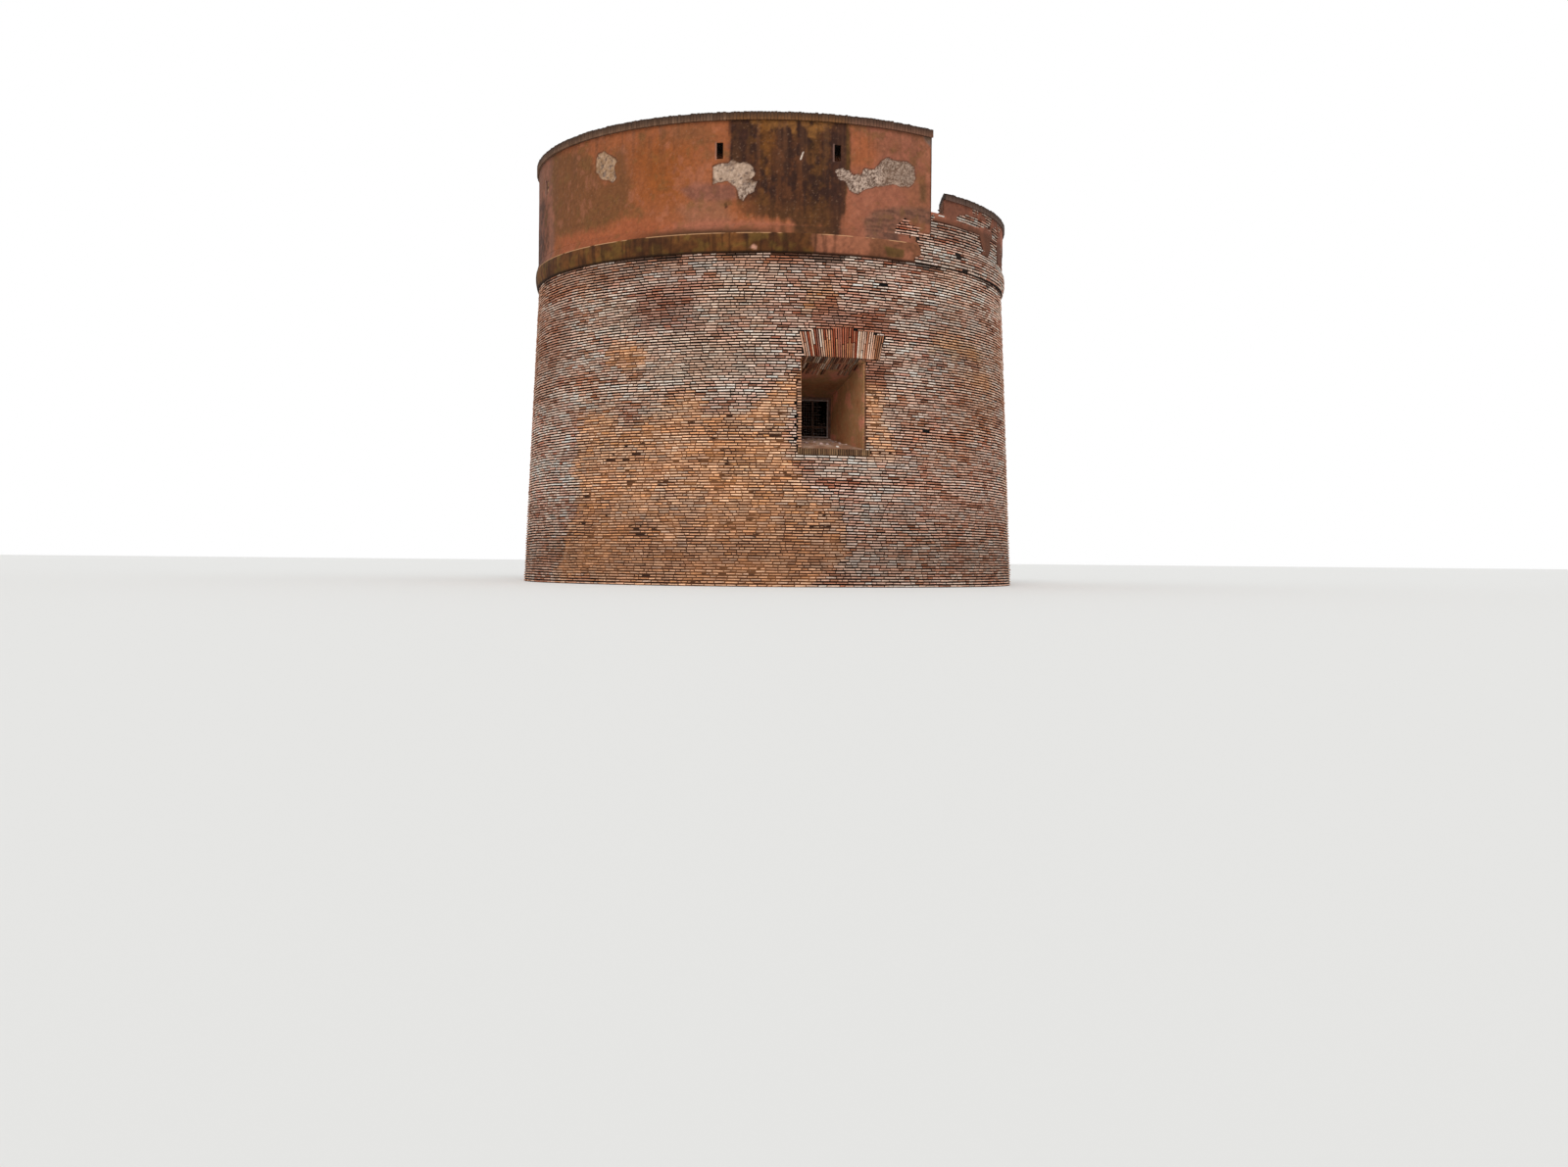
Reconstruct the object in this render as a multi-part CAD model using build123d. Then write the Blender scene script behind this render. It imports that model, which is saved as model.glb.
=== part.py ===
from build123d import *
from math import atan2, cos, degrees, radians, sin, tan
import os

# A round brick watchtower: a battered drum with a vaulted room, a cordon, a terrace,
# a high rendered parapet over one half and a low crenellated parapet over the other.
# Millimetres, +Z up, origin on the tower's axis at ground level.
# An azimuth is counted from the front, which faces -Y, towards +X.

# Drum
base_radius = 5036
parapet_radius = 4786
render_thickness = 15
upper_wall_thickness = 1100
vault_seat_width = 475
floor_seat_width = 300

# Floors and vault, each height counted from the one before
floor_seat_height = 1450
room_floor_thickness = 300
spring_height = 2950
vault_rise_height = 950
vault_crown_thickness = 300
terrace_fill_thickness = 350

# Cordon
cordon_lip_width = 40
cordon_projection_width = 58
cordon_band_height = 330
cordon_lean_width = 10
cordon_slope_height = 140

# Parapets
low_wall_thickness = 550
high_wall_thickness = 1100
high_wall_height = 1884
high_wall_end_angle = 24.2
high_wall_span = 180
high_cope_count = 3
breast_height = 510
merlon_height = 295
merlon_count = 3
high_cope_height = 136
merlon_cope_height = 115
cope_overhang_width = 50
cope_camber_height = 22
crenel_width = 345
crenel_splay = 41

# Loopholes of the high wall, by the azimuth of each one
loophole_azimuths = [0.5, -24.8, -52.9, -80.9, -110.5, -140.5]
walled_up = 2
loophole_width = 120
loophole_height = 290
loophole_inner_width = 1100
loophole_inner_height = 460
loophole_centre_height = 1450

# Embrasures, one at the front and one at the back
window_width = 740
window_height = 810
window_sill_height = 990
throat_length = 190
opening_width = 1200
sill_fall_height = 270
head_rise_height = 550
plaster_thickness = 20
plaster_setback = 130
frame_depth = 60
frame_width = 45

# Arch and sill course of an embrasure
arch_left_inset_width = 60
arch_right_reach_width = 240
arch_crown_height = 530
arch_end_height = 430
arch_skew_width = 95
arch_depth = 250
sill_course_height = 120
sill_course_reach_width = 70
sill_course_depth = 250
sill_course_proud_width = 20

# Worked out from the sizes above
neck_radius = parapet_radius - render_thickness
vault_seat_radius = neck_radius - upper_wall_thickness
room_radius = vault_seat_radius - vault_seat_width
base_room_radius = room_radius - floor_seat_width
terrace_radius = parapet_radius - low_wall_thickness
room_floor_level = floor_seat_height + room_floor_thickness
spring_level = room_floor_level + spring_height
cordon_level = spring_level + vault_rise_height + vault_crown_thickness
terrace_level = cordon_level + terrace_fill_thickness
parapet_level = cordon_level + cordon_band_height + cordon_slope_height
breast_level = parapet_level + breast_height
merlon_level = breast_level + merlon_height
high_wall_level = parapet_level + high_wall_height
loophole_level = terrace_level + loophole_centre_height
window_sill_level = room_floor_level + window_sill_height
window_head_level = window_sill_level + window_height
window_distance = room_radius + throat_length
full_turn = 360
quarter_turn = 90
quarters = {name: quarter_turn * n for n, name in
            enumerate(["front_right", "back_right", "back_left", "front_left"])}
embrasures = {"front": 0, "back": full_turn / 2}
clear = 1000  # how far a cutting shape runs past what it cuts
near_clear = 150  # the same, where another wall stands close by
bay_half_angle = 30  # half the stretch of wall in which an embrasure is made


def drum_radius(height):
    """Outer radius of the battered drum at a height."""
    return base_radius - (base_radius - neck_radius) * height / cordon_level


opening_face = drum_radius((window_sill_level + window_head_level) / 2)


def section(*points):
    """A face on the plane of radius and height."""
    return make_face(Polyline(*[(radius, 0, height) for radius, height in points], close=True))


def turned(face, start, end):
    """Turn a section about the tower's axis from one azimuth to another."""
    return Rot(0, 0, start - quarter_turn) * revolve(face, Axis.Z, end - start)


def upright(start_distance, end_distance, start_size, end_size):
    """A block between two upright rectangles that face the front.

    Each size is the low x, high x, low z and high z at its distance from the axis."""
    faces = []
    for distance, (x_low, x_high, z_low, z_high) in ((start_distance, start_size), (end_distance, end_size)):
        plane = Plane(((x_low + x_high) / 2, -distance, (z_low + z_high) / 2), (1, 0, 0), (0, -1, 0))
        faces.append(plane * Rectangle(x_high - x_low, z_high - z_low))
    return loft(faces, ruled=True)


def side_prism(width, points):
    """A prism along X whose outline is given as distance from the axis and height."""
    outline = Polyline(*[(-width / 2, -distance, height) for distance, height in points], close=True)
    return extrude(make_face(outline), width, dir=(1, 0, 0))


# The drum's walls

def base_wall(start):
    wall = section((base_room_radius, 0), (base_radius, 0),
                   (drum_radius(floor_seat_height), floor_seat_height),
                   (base_room_radius, floor_seat_height))
    return turned(wall, start, start + quarter_turn)


def room_wall_section():
    return section((room_radius, floor_seat_height),
                   (drum_radius(floor_seat_height), floor_seat_height),
                   (neck_radius, cordon_level),
                   (vault_seat_radius, cordon_level),
                   (vault_seat_radius, spring_level),
                   (room_radius, spring_level))


# The embrasure at the front; the back one is the same, turned half round

def splay(distance, inner, outer):
    """Value at a distance from the axis, on the line from the window to the drum's face."""
    return inner + (outer - inner) * (distance - window_distance) / (opening_face - window_distance)


def opening_at(distance, grow):
    """The splayed opening's size at a distance, with its jambs and soffit moved out by grow."""
    half = splay(distance, window_width / 2, opening_width / 2) + grow
    sill = splay(distance, window_sill_level, window_sill_level - sill_fall_height)
    head = splay(distance, window_head_level, window_head_level + head_rise_height) + grow
    return -half, half, sill, head


def splayed_opening(grow):
    far = base_radius + clear
    return upright(window_distance, far, opening_at(window_distance, grow), opening_at(far, grow))


def throat():
    size = (-window_width / 2, window_width / 2, window_sill_level, window_head_level)
    return upright(room_radius - clear, window_distance, size, size)


def opening_bay():
    """The whole height of wall between the planes of the jambs."""
    low = floor_seat_height - clear
    high = cordon_level + clear
    far = base_radius + clear
    near_half = window_width / 2
    far_half = opening_at(far, 0)[1] + plaster_thickness
    jamb_half = near_half + plaster_thickness
    outline = [(-near_half, clear - room_radius), (near_half, clear - room_radius),
               (near_half, -window_distance), (jamb_half, -window_distance), (far_half, -far),
               (-far_half, -far), (-jamb_half, -window_distance), (-near_half, -window_distance)]
    plan = make_face(Polyline(*[(x, y, low) for x, y in outline], close=True))
    return extrude(plan, high - low, dir=(0, 0, 1))


def outer_skin(depth, proud):
    """The outermost layer of the drum's wall, for what is set into its face."""
    def skin_section(shift):
        return section((0, floor_seat_height), (drum_radius(floor_seat_height) + shift, floor_seat_height),
                       (neck_radius + shift, cordon_level), (0, cordon_level))
    whole = turned(skin_section(proud), -bay_half_angle, bay_half_angle)
    return whole - turned(skin_section(-depth), -quarter_turn / 2, quarter_turn / 2)


def soffit_line(distance):
    return opening_at(distance, plaster_thickness)[3]


def arch():
    """Brick-on-edge arch with a curved back, skewed ends and a soffit that follows the splay."""
    left = arch_left_inset_width - opening_width / 2
    right = opening_width / 2 + arch_right_reach_width
    foot = window_head_level
    head = window_head_level + head_rise_height
    far = base_radius + clear
    back = ThreePointArc((left - arch_skew_width, -far, head + arch_end_height),
                         ((left + right) / 2, -far, head + arch_crown_height),
                         (right + arch_skew_width, -far, head + arch_end_height))
    skew_foot = arch_skew_width * (head - foot) / arch_end_height
    ends = Polyline((right + arch_skew_width, -far, head + arch_end_height), (right - skew_foot, -far, foot),
                    (left + skew_foot, -far, foot), (left - arch_skew_width, -far, head + arch_end_height))
    block = extrude(make_face([back, ends]), far, dir=(0, 1, 0))
    below = side_prism(2 * far, [(room_radius, soffit_line(room_radius)), (far, soffit_line(far)),
                                 (far, 0), (room_radius, 0)])
    return (block & outer_skin(arch_depth, 0)) - below


def sill_course():
    """Brick-on-edge course under the opening, its top on the slope of the sill."""
    def sill_line(distance):
        return opening_at(distance, 0)[2]
    far = opening_face + clear
    bottom = sill_line(opening_face) - sill_course_height
    block = side_prism(opening_width + 2 * sill_course_reach_width,
                       [(room_radius, bottom), (far, bottom), (far, sill_line(far)),
                        (room_radius, sill_line(room_radius))])
    return block & outer_skin(sill_course_depth, sill_course_proud_width)


def reveal_plaster():
    """Plaster on the jambs and soffit, from the window to a setback behind the face."""
    far = opening_face - plaster_setback
    plain = upright(window_distance, far, opening_at(window_distance, 0), opening_at(far, 0))
    thick = upright(window_distance, far, opening_at(window_distance, plaster_thickness),
                    opening_at(far, plaster_thickness))
    return thick - plain


def window_frame():
    outer = (-window_width / 2, window_width / 2, window_sill_level, window_head_level)
    inner = (outer[0] + frame_width, outer[1] - frame_width, outer[2] + frame_width, outer[3] - frame_width)
    back = window_distance - frame_depth
    return upright(back, window_distance, outer, outer) - upright(back, window_distance, inner, inner)


# The cordon, floors and vault

def cordon(start):
    band_top = cordon_level + cordon_band_height
    lip_radius = neck_radius + cordon_lip_width
    bulge_radius = parapet_radius + cordon_projection_width
    arris_radius = bulge_radius - cordon_lean_width
    bulge = ThreePointArc((lip_radius, 0, cordon_level),
                          (bulge_radius, 0, cordon_level + cordon_band_height / 2),
                          (arris_radius, 0, band_top))
    rest = Polyline((arris_radius, 0, band_top), (parapet_radius, 0, parapet_level),
                    (terrace_radius, 0, parapet_level), (terrace_radius, 0, cordon_level),
                    (lip_radius, 0, cordon_level))
    return turned(make_face([bulge, rest]), start, start + quarter_turn)


def room_floor():
    return Pos(0, 0, floor_seat_height) * Cylinder(room_radius, room_floor_thickness,
                                                   align=(Align.CENTER, Align.CENTER, Align.MIN))


def terrace_floor():
    return Pos(0, 0, cordon_level) * Cylinder(terrace_radius, terrace_fill_thickness,
                                              align=(Align.CENTER, Align.CENTER, Align.MIN))


def terrace_vault():
    """Shallow dome on its seat in the wall, level on top."""
    crown = spring_level + vault_rise_height
    dome_radius = (room_radius ** 2 + vault_rise_height ** 2) / (2 * vault_rise_height)
    half_angle = atan2(room_radius, dome_radius - vault_rise_height) / 2
    haunch = (dome_radius * sin(half_angle), 0, crown - dome_radius * (1 - cos(half_angle)))
    under = ThreePointArc((0, 0, crown), haunch, (room_radius, 0, spring_level))
    rest = Polyline((room_radius, 0, spring_level), (vault_seat_radius, 0, spring_level),
                    (vault_seat_radius, 0, cordon_level), (0, 0, cordon_level), (0, 0, crown))
    return revolve(make_face([under, rest]), Axis.Z, full_turn)


# The parapets

crenel_angle = degrees(crenel_width / parapet_radius)
low_span = full_turn - high_wall_span
merlon_angle = (low_span - (merlon_count + 1) * crenel_angle) / merlon_count
crenel_step = merlon_angle + crenel_angle
crenel_azimuths = [high_wall_end_angle + crenel_angle / 2 + crenel_step * n for n in range(merlon_count + 1)]


def wedge(azimuth, thickness, outer_width, inner_width, low, high, inner_low):
    """Level-topped opening through a parapet, splayed from its outer to its inner size."""
    def size_at(distance):
        share = (parapet_radius - distance) / thickness
        half = (outer_width + (inner_width - outer_width) * share) / 2
        return -half, half, low + (inner_low - low) * share, high
    inner = parapet_radius - thickness - near_clear
    outer = parapet_radius + near_clear
    return Rot(0, 0, azimuth) * upright(inner, outer, size_at(inner), size_at(outer))


def crenel(azimuth):
    """Cut of one crenel in the low wall, down to the breast wall's top."""
    inner_width = crenel_width + 2 * low_wall_thickness * tan(radians(crenel_splay))
    return wedge(azimuth, low_wall_thickness, crenel_width, inner_width, breast_level,
                 merlon_level + clear, breast_level)


def loophole(azimuth):
    """Narrow outside and wide inside, with a level head and a sill that falls inwards."""
    head = loophole_level + loophole_height / 2
    return wedge(azimuth, high_wall_thickness, loophole_width, loophole_inner_width,
                 head - loophole_height, head, head - loophole_inner_height)


def low_wall_section():
    return section((terrace_radius, parapet_level), (parapet_radius, parapet_level),
                   (parapet_radius, merlon_level), (terrace_radius, merlon_level))


def high_wall_section():
    """Thicker than the low wall, so that its inner part stands on the terrace's floor."""
    inner = parapet_radius - high_wall_thickness
    return section((inner, terrace_level), (terrace_radius, terrace_level),
                   (terrace_radius, parapet_level), (parapet_radius, parapet_level),
                   (parapet_radius, high_wall_level), (inner, high_wall_level))


def cope(bottom, height, thickness, start, end):
    """Cope with an overhang on both faces and a cambered top."""
    inner = parapet_radius - thickness - cope_overhang_width
    outer = parapet_radius + cope_overhang_width
    edge = bottom + height - cope_camber_height
    crown = ThreePointArc((outer, 0, edge), ((inner + outer) / 2, 0, bottom + height), (inner, 0, edge))
    rest = Polyline((inner, 0, edge), (inner, 0, bottom), (outer, 0, bottom), (outer, 0, edge))
    return turned(make_face([crown, rest]), start, end)


def high_walls():
    """One bay of the high wall for each loophole, from the right end round to the back."""
    joints = [high_wall_end_angle]
    joints += [(one + next_one) / 2 for one, next_one in zip(loophole_azimuths, loophole_azimuths[1:])]
    joints += [high_wall_end_angle - high_wall_span]
    bays = []
    for number, azimuth in enumerate(loophole_azimuths):
        bay = turned(high_wall_section(), joints[number + 1], joints[number])
        if number != walled_up:
            bay -= loophole(azimuth)
        bays.append(bay)
    return bays


def low_walls():
    """Each merlon with the breast wall under it, out to the middle of the crenels beside it."""
    walls = []
    for number in range(merlon_count):
        ends = crenel_azimuths[number:number + 2]
        start = high_wall_end_angle if number == 0 else ends[0]
        end = high_wall_end_angle + low_span if number == merlon_count - 1 else ends[1]
        wall = turned(low_wall_section(), start, end)
        walls.append(wall - crenel(ends[0]) - crenel(ends[1]))
    return walls


def merlon_copes():
    copes = []
    for number in range(merlon_count):
        ends = crenel_azimuths[number:number + 2]
        strip = cope(merlon_level, merlon_cope_height, low_wall_thickness, ends[0], ends[1])
        copes.append(strip - crenel(ends[0]) - crenel(ends[1]))
    return copes


def high_copes():
    step = high_wall_span / high_cope_count
    start = high_wall_end_angle - high_wall_span
    return [cope(high_wall_level, high_cope_height, high_wall_thickness, start + step * n,
                 start + step * (n + 1)) for n in range(high_cope_count)]


def drum_nodes():
    nodes = {}
    front_bay = opening_bay()
    front_opening = splayed_opening(plaster_thickness) + throat()
    front_pieces = {"arch": arch(), "sill_course": sill_course(), "reveal_plaster": reveal_plaster(),
                    "window_frame": window_frame()}
    set_in = front_pieces["arch"] + front_pieces["sill_course"]
    wall_at_front = turned(room_wall_section(), -bay_half_angle, bay_half_angle)
    bay_wall = (wall_at_front & front_bay) - front_opening - set_in
    apron, head = sorted(bay_wall.solids(), key=lambda solid: solid.center().Z)
    front_pieces["apron"] = apron
    front_pieces["head"] = head
    for quarter, start in quarters.items():
        nodes["base_wall_" + quarter] = base_wall(start)
        wall = turned(room_wall_section(), start, start + quarter_turn)
        for turn in embrasures.values():
            wall -= Rot(0, 0, turn) * front_bay
            wall -= Rot(0, 0, turn) * set_in
        nodes["room_wall_" + quarter] = wall
        nodes["cordon_" + quarter] = cordon(start)
    for side, turn in embrasures.items():
        for name, piece in front_pieces.items():
            nodes[name + "_" + side] = Rot(0, 0, turn) * piece
    return nodes


def parapet_nodes():
    nodes = {}
    groups = {"high_wall": high_walls(), "high_cope": high_copes(),
              "low_wall": low_walls(), "merlon_cope": merlon_copes()}
    for name, pieces in groups.items():
        for number, piece in enumerate(pieces, start=1):
            nodes[name + "_" + str(number)] = piece
    return nodes


nodes = drum_nodes()
nodes.update(parapet_nodes())
nodes["room_floor"] = room_floor()
nodes["terrace_vault"] = terrace_vault()
nodes["terrace_floor"] = terrace_floor()

os.makedirs("parts", exist_ok=True)
for name, shape in nodes.items():
    export_step(shape, "parts/" + name + ".step")
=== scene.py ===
# A round brick watchtower. Metres, +Z up. The front embrasure faces -Y.
# An azimuth is counted in degrees from the front, towards +X.
import bpy
import numpy as np
from mathutils import Matrix, Vector


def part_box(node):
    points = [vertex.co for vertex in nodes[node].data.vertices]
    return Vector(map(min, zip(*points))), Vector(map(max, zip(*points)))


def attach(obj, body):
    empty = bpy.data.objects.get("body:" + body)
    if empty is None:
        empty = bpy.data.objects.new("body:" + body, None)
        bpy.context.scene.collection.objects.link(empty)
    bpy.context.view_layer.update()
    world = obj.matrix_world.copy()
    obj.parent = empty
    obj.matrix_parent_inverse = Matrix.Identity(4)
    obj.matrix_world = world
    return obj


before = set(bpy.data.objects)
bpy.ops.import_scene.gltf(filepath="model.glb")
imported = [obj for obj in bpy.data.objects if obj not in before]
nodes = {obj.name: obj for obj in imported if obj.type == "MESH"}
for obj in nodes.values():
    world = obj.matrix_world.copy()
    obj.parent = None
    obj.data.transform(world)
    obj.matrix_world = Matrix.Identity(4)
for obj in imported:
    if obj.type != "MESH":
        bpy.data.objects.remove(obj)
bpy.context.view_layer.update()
print("frame loaded:", len(nodes), "nodes")


def lowOf(node):
    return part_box(node)[0]


def highOf(node):
    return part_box(node)[1]


# The tower's main sizes, taken from the frame
baseRadius = highOf("base_wall_front_right").x
seatHeight = highOf("base_wall_front_right").z
seatRadius = highOf("room_wall_front_right").x
cordonLow = highOf("room_wall_front_right").z
cordonRadius = highOf("cordon_front_right").x
parapetLow = highOf("cordon_front_right").z
parapetRadius = -lowOf("high_wall_4").x
parapetInner = highOf("terrace_floor").x
terraceLevel = highOf("terrace_floor").z
highTop = highOf("high_wall_1").z
highCopeTop = highOf("high_cope_1").z
merlonTop = highOf("low_wall_1").z
merlonCopeTop = highOf("merlon_cope_1").z
neckRadius = baseRadius - (baseRadius - seatRadius) / seatHeight * cordonLow

# Sizes that the boxes don't give
tower = {
    "highEnd": 24.2,          # azimuth where the high wall stops on the right
    "highSpan": 180.0,        # degrees of high wall
    "highThickness": 1.10,
    "breastLevel": 6.93,      # top of the low wall in its crenels
    "crenelWidth": 0.345,
    "crenelInner": 1.30,      # width of a crenel on the terrace's side
    "copeOverhang": 0.05,
    "loopholes": [0.5, -24.8, -80.9, -110.5, -140.5],
    "loopholeHeight": 7.75,
    "loopholeSize": (0.12, 0.29),
    "loopholeInner": (1.10, 0.46),
    "coursePitch": 0.05,
    "bedJoint": 0.026,
    "endJoint": 0.014,
    "merlonCount": 3,
}
highInner = parapetRadius - tower["highThickness"]
crenelAngle = np.degrees(tower["crenelWidth"] / parapetRadius)
lowSpan = 360 - tower["highSpan"]
crenelStep = (lowSpan - crenelAngle) / tower["merlonCount"]
crenels = [tower["highEnd"] + crenelAngle / 2 + crenelStep * n for n in range(tower["merlonCount"] + 1)]


# Noise and colour

def lattice(ix, iy, iz, seed):
    # a repeatable value from 0 to 1 for each whole-numbered point
    h = (ix * 374761393 + iy * 668265263 + iz * 974634777 + seed * 69069) & 0xffffffff
    h = ((h ^ (h >> 13)) * 1274126177) & 0xffffffff
    return ((h ^ (h >> 16)) & 0xffff) / 65535.0


def noise(points, size, seed=0):
    # value noise: lattice values blended by a smooth step between the eight corners round a point
    p = np.asarray(points) / size
    cell = np.floor(p).astype(np.int64)
    f = p - cell
    f = f * f * (3 - 2 * f)
    total = 0
    for dx in (0, 1):
        for dy in (0, 1):
            for dz in (0, 1):
                weight = np.abs(1 - np.array([dx, dy, dz]) - f).prod(-1)
                corner = [cell[..., 0] + dx, cell[..., 1] + dy, cell[..., 2] + dz]
                total = total + weight * lattice(*corner, seed)
    return total


def fractal(points, size, octaves=4, seed=0):
    # octaves of noise, each half as large and half as strong, from 0 to 1
    total, strength, whole = 0, 1.0, 0.0
    for octave in range(octaves):
        total = total + strength * noise(points, size / 2 ** octave, seed + 17 * octave)
        whole += strength
        strength /= 2
    return total / whole


def streaked(degrees, z, width, height, size, octaves, seed):
    # noise stretched up a wall: so many degrees and so many metres make one unit of it
    return fractal(np.stack([degrees / width, 0 * z, z / height], -1), size, octaves, seed)


def smooth(x, low, high):
    # smooth step from 0 at low to 1 at high, also where low is over high
    t = np.clip((x - low) / (high - low), 0, 1)
    return t * t * (3 - 2 * t)


def linear(*colour):
    # screen colour of 0 to 255 as linear light
    return (np.array(colour) / 255.0) ** 2.2


def linears(*colours):
    return np.array([linear(*colour) for colour in colours])


def mixed(a, b, share):
    # blend of two colours or colour arrays by a share per point
    return a * (1 - share[..., None]) + b * share[..., None]


def rgba(*colour):
    return tuple(linear(*colour)) + (1.0,)


def layered(colour, *layers):
    # screen colours laid over a colour one after another, each by its share per point
    for over, share in layers:
        colour = mixed(colour, linear(*over), share)
    return colour


def grained(colour, points, low, spread, size, octaves, seed):
    # brightness broken up by noise, from low to low and spread
    return colour * (low + spread * fractal(points, size, octaves, seed))[..., None]


# Surfaces: each gives a point from two parameters and the distance out from the surface

def drumRadius(z):
    return baseRadius - (baseRadius - neckRadius) * z / cordonLow


def around(azimuth, radius, z):
    return np.stack([radius * np.sin(azimuth), -radius * np.cos(azimuth), z + 0 * radius], -1)


def drumFace(azimuth, z, out):
    return around(azimuth, drumRadius(z) + out, z)


def parapetFace(azimuth, z, out):
    return around(azimuth, parapetRadius + out + 0 * z, z)


# the parapets' insides run the other way round, so that their blocks face the terrace
def lowInside(turn, z, out):
    return around(-turn, parapetInner - out + 0 * z, z)


def highInside(turn, z, out):
    return around(-turn, highInner - out + 0 * z, z)


def wrapped(azimuth, last):
    # azimuths in radians beyond the last one, in degrees, as the negative ones of the outlines
    return np.where(azimuth > np.radians(last), azimuth - 2 * np.pi, azimuth)


def outlineDistance(azimuth, z, outline, radius=parapetRadius):
    # distance in metres to an outline of azimuths and heights, below 0 inside it: the least
    # distance to any side, with its sign from how many sides a level ray crosses
    x = azimuth * radius
    corners = [(np.radians(a) * radius, h) for a, h in outline]
    best = np.full(np.shape(x), 1e9)
    inside = np.zeros(np.shape(x), bool)
    for (x0, z0), (x1, z1) in zip(corners, corners[1:] + corners[:1]):
        dx, dz = x1 - x0, z1 - z0
        share = np.clip(((x - x0) * dx + (z - z0) * dz) / (dx * dx + dz * dz), 0, 1)
        best = np.minimum(best, np.hypot(x - x0 - share * dx, z - z0 - share * dz))
        if dz:
            inside ^= ((z0 > z) != (z1 > z)) & (x < x0 + (z - z0) * dx / dz)
    return np.where(inside, -best, best)


def nearest(azimuth, z, outlines, radius=parapetRadius):
    # least of the distances to several outlines
    best = np.full(np.shape(azimuth), 1e9)
    for outline in outlines:
        best = np.minimum(best, outlineDistance(azimuth, z, outline, radius))
    return best


def azimuths(start, end, step, radius):
    # evenly spaced azimuths in radians, about a step in metres apart
    return np.radians(np.linspace(start, end, int(np.radians(end - start) * radius / step) + 1))


def gridLines(low, high, step, extra):
    # evenly spaced lines with those near an extra line moved onto it
    lines = np.linspace(low, high, max(2, int(round((high - low) / step)) + 1))
    for value in extra:
        if low < value < high:
            lines[np.argmin(np.abs(lines - value))] = value
    return np.unique(lines)


def cellMiddles(grid):
    return (grid[:-1, :-1] + grid[1:, 1:]) / 2


def cellsWith(present):
    # cells of a grid that have a corner where present is true
    return present[:-1, :-1] | present[1:, :-1] | present[1:, 1:] | present[:-1, 1:]


def outside(azimuth, z, holes):
    # cells of a grid whose middles lie in none of the holes
    azimuth, z = cellMiddles(azimuth), cellMiddles(z)
    keep = np.ones(azimuth.shape, bool)
    for hole in holes:
        low, high = hole(z)
        keep &= ~((azimuth > low) & (azimuth < high))
    return keep


def gridFaces(rows, columns):
    # quads between neighbouring points of a grid that is stored row by row
    index = np.arange(rows * columns).reshape(rows, columns)
    return np.stack([index[:-1, :-1], index[1:, :-1], index[1:, 1:], index[:-1, 1:]], -1).reshape(-1, 4)


def turnedEdges(points, colour, faces, depth):
    # closes a sheet towards the wall: finds the sides that only one face uses and adds a strip
    # from each one towards the tower's axis
    sides = np.stack([faces, np.roll(faces, -1, 1)], -1).reshape(-1, 2)
    key = np.sort(sides, 1) @ np.array([len(points), 1])
    first, count = np.unique(key, return_index=True, return_counts=True)[1:]
    rim = sides[first[count == 1]]
    used, place = np.unique(rim, return_inverse=True)
    place = place.reshape(rim.shape) + len(points)
    inner = points[used].copy()
    radius = np.linalg.norm(inner[:, :2], axis=1)
    inner[:, :2] *= ((radius - depth) / radius)[:, None]
    strip = np.stack([rim[:, 1], rim[:, 0], place[:, 0], place[:, 1]], 1)
    points = np.concatenate([points, inner])
    # the turned-in strip is darker, as painted shade along the sheet's broken edge
    colour = np.concatenate([colour, colour[used] * 0.7])
    return points, colour, np.concatenate([faces, strip])


behind = 0.012       # how far a sheet sinks behind the wall's face where it is gone
nearlyGone = 0.995   # share gone from which a sheet's cells are left out


def sunk(lift, gone):
    # a sheet's lift, sunk behind the bricks by the share that is gone
    return lift + (-behind - lift) * gone


def sheetPiece(name, points, colour, keep, material, depth=0.03):
    # a grid of points as one piece, without the cells that keep leaves out
    rows, columns = points.shape[:2]
    faces = gridFaces(rows, columns)[keep.ravel()]
    used, place = np.unique(faces, return_inverse=True)
    faces = place.reshape(faces.shape)
    points, colour = points.reshape(-1, 3)[used], colour.reshape(-1, 3)[used]
    points, colour, faces = turnedEdges(points, colour, faces, depth)
    return meshPiece(name, points, faces, colour, True, material)


# Cordon profile: underside, an arc through lip, bulge and arris, and the slope on top
cordon = {"lip": 0.04, "lean": 0.010, "band": 0.33, "coat": 0.012,
          "step": 0.025, "bandRows": 16, "slopeRows": 7,
          "lost": (20.0, 206.0), "patchesFrom": 58, "bricks": (10.0, 214.0), "seam": 80.0,
          "green": [(10.8, 6.18), (14.2, 6.15), (16.3, 6.14), (16.0, 6.01), (12.1, 5.98)],
          "chip": [(-18.2, 6.02), (-17.4, 6.08), (-16.6, 6.04), (-16.7, 5.98)],
          "gaps": [[(31.9, 6.26), (33.4, 6.28), (33.8, 6.16), (32.2, 6.14)],
                   [(35.5, 5.99), (37.4, 6.0), (38.2, 5.9), (35.6, 5.9)]]}
lipPoint = np.array([neckRadius + cordon["lip"], cordonLow])
bulgePoint = np.array([cordonRadius, cordonLow + cordon["band"] / 2])
arrisPoint = np.array([cordonRadius - cordon["lean"], cordonLow + cordon["band"]])


def circleThrough(a, b, c):
    # centre of the circle through three points, from the two equations of equal distance
    m = 2 * np.array([b - a, c - a])
    return np.linalg.solve(m, [b @ b - a @ a, c @ c - a @ a])


cordonCentre = circleThrough(lipPoint, bulgePoint, arrisPoint)
cordonArcRadius = np.linalg.norm(lipPoint - cordonCentre)
profileZ = np.linspace(cordonLow, arrisPoint[1], 24)
profileRadius = cordonCentre[0] + np.sqrt(cordonArcRadius ** 2 - (profileZ - cordonCentre[1]) ** 2)
profileZ = np.append(profileZ, parapetLow)
profileRadius = np.append(profileRadius, parapetRadius)


def cordonFace(azimuth, z, out):
    return around(azimuth, np.interp(z, profileZ, profileRadius) + out, z)


# Meshes

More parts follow.
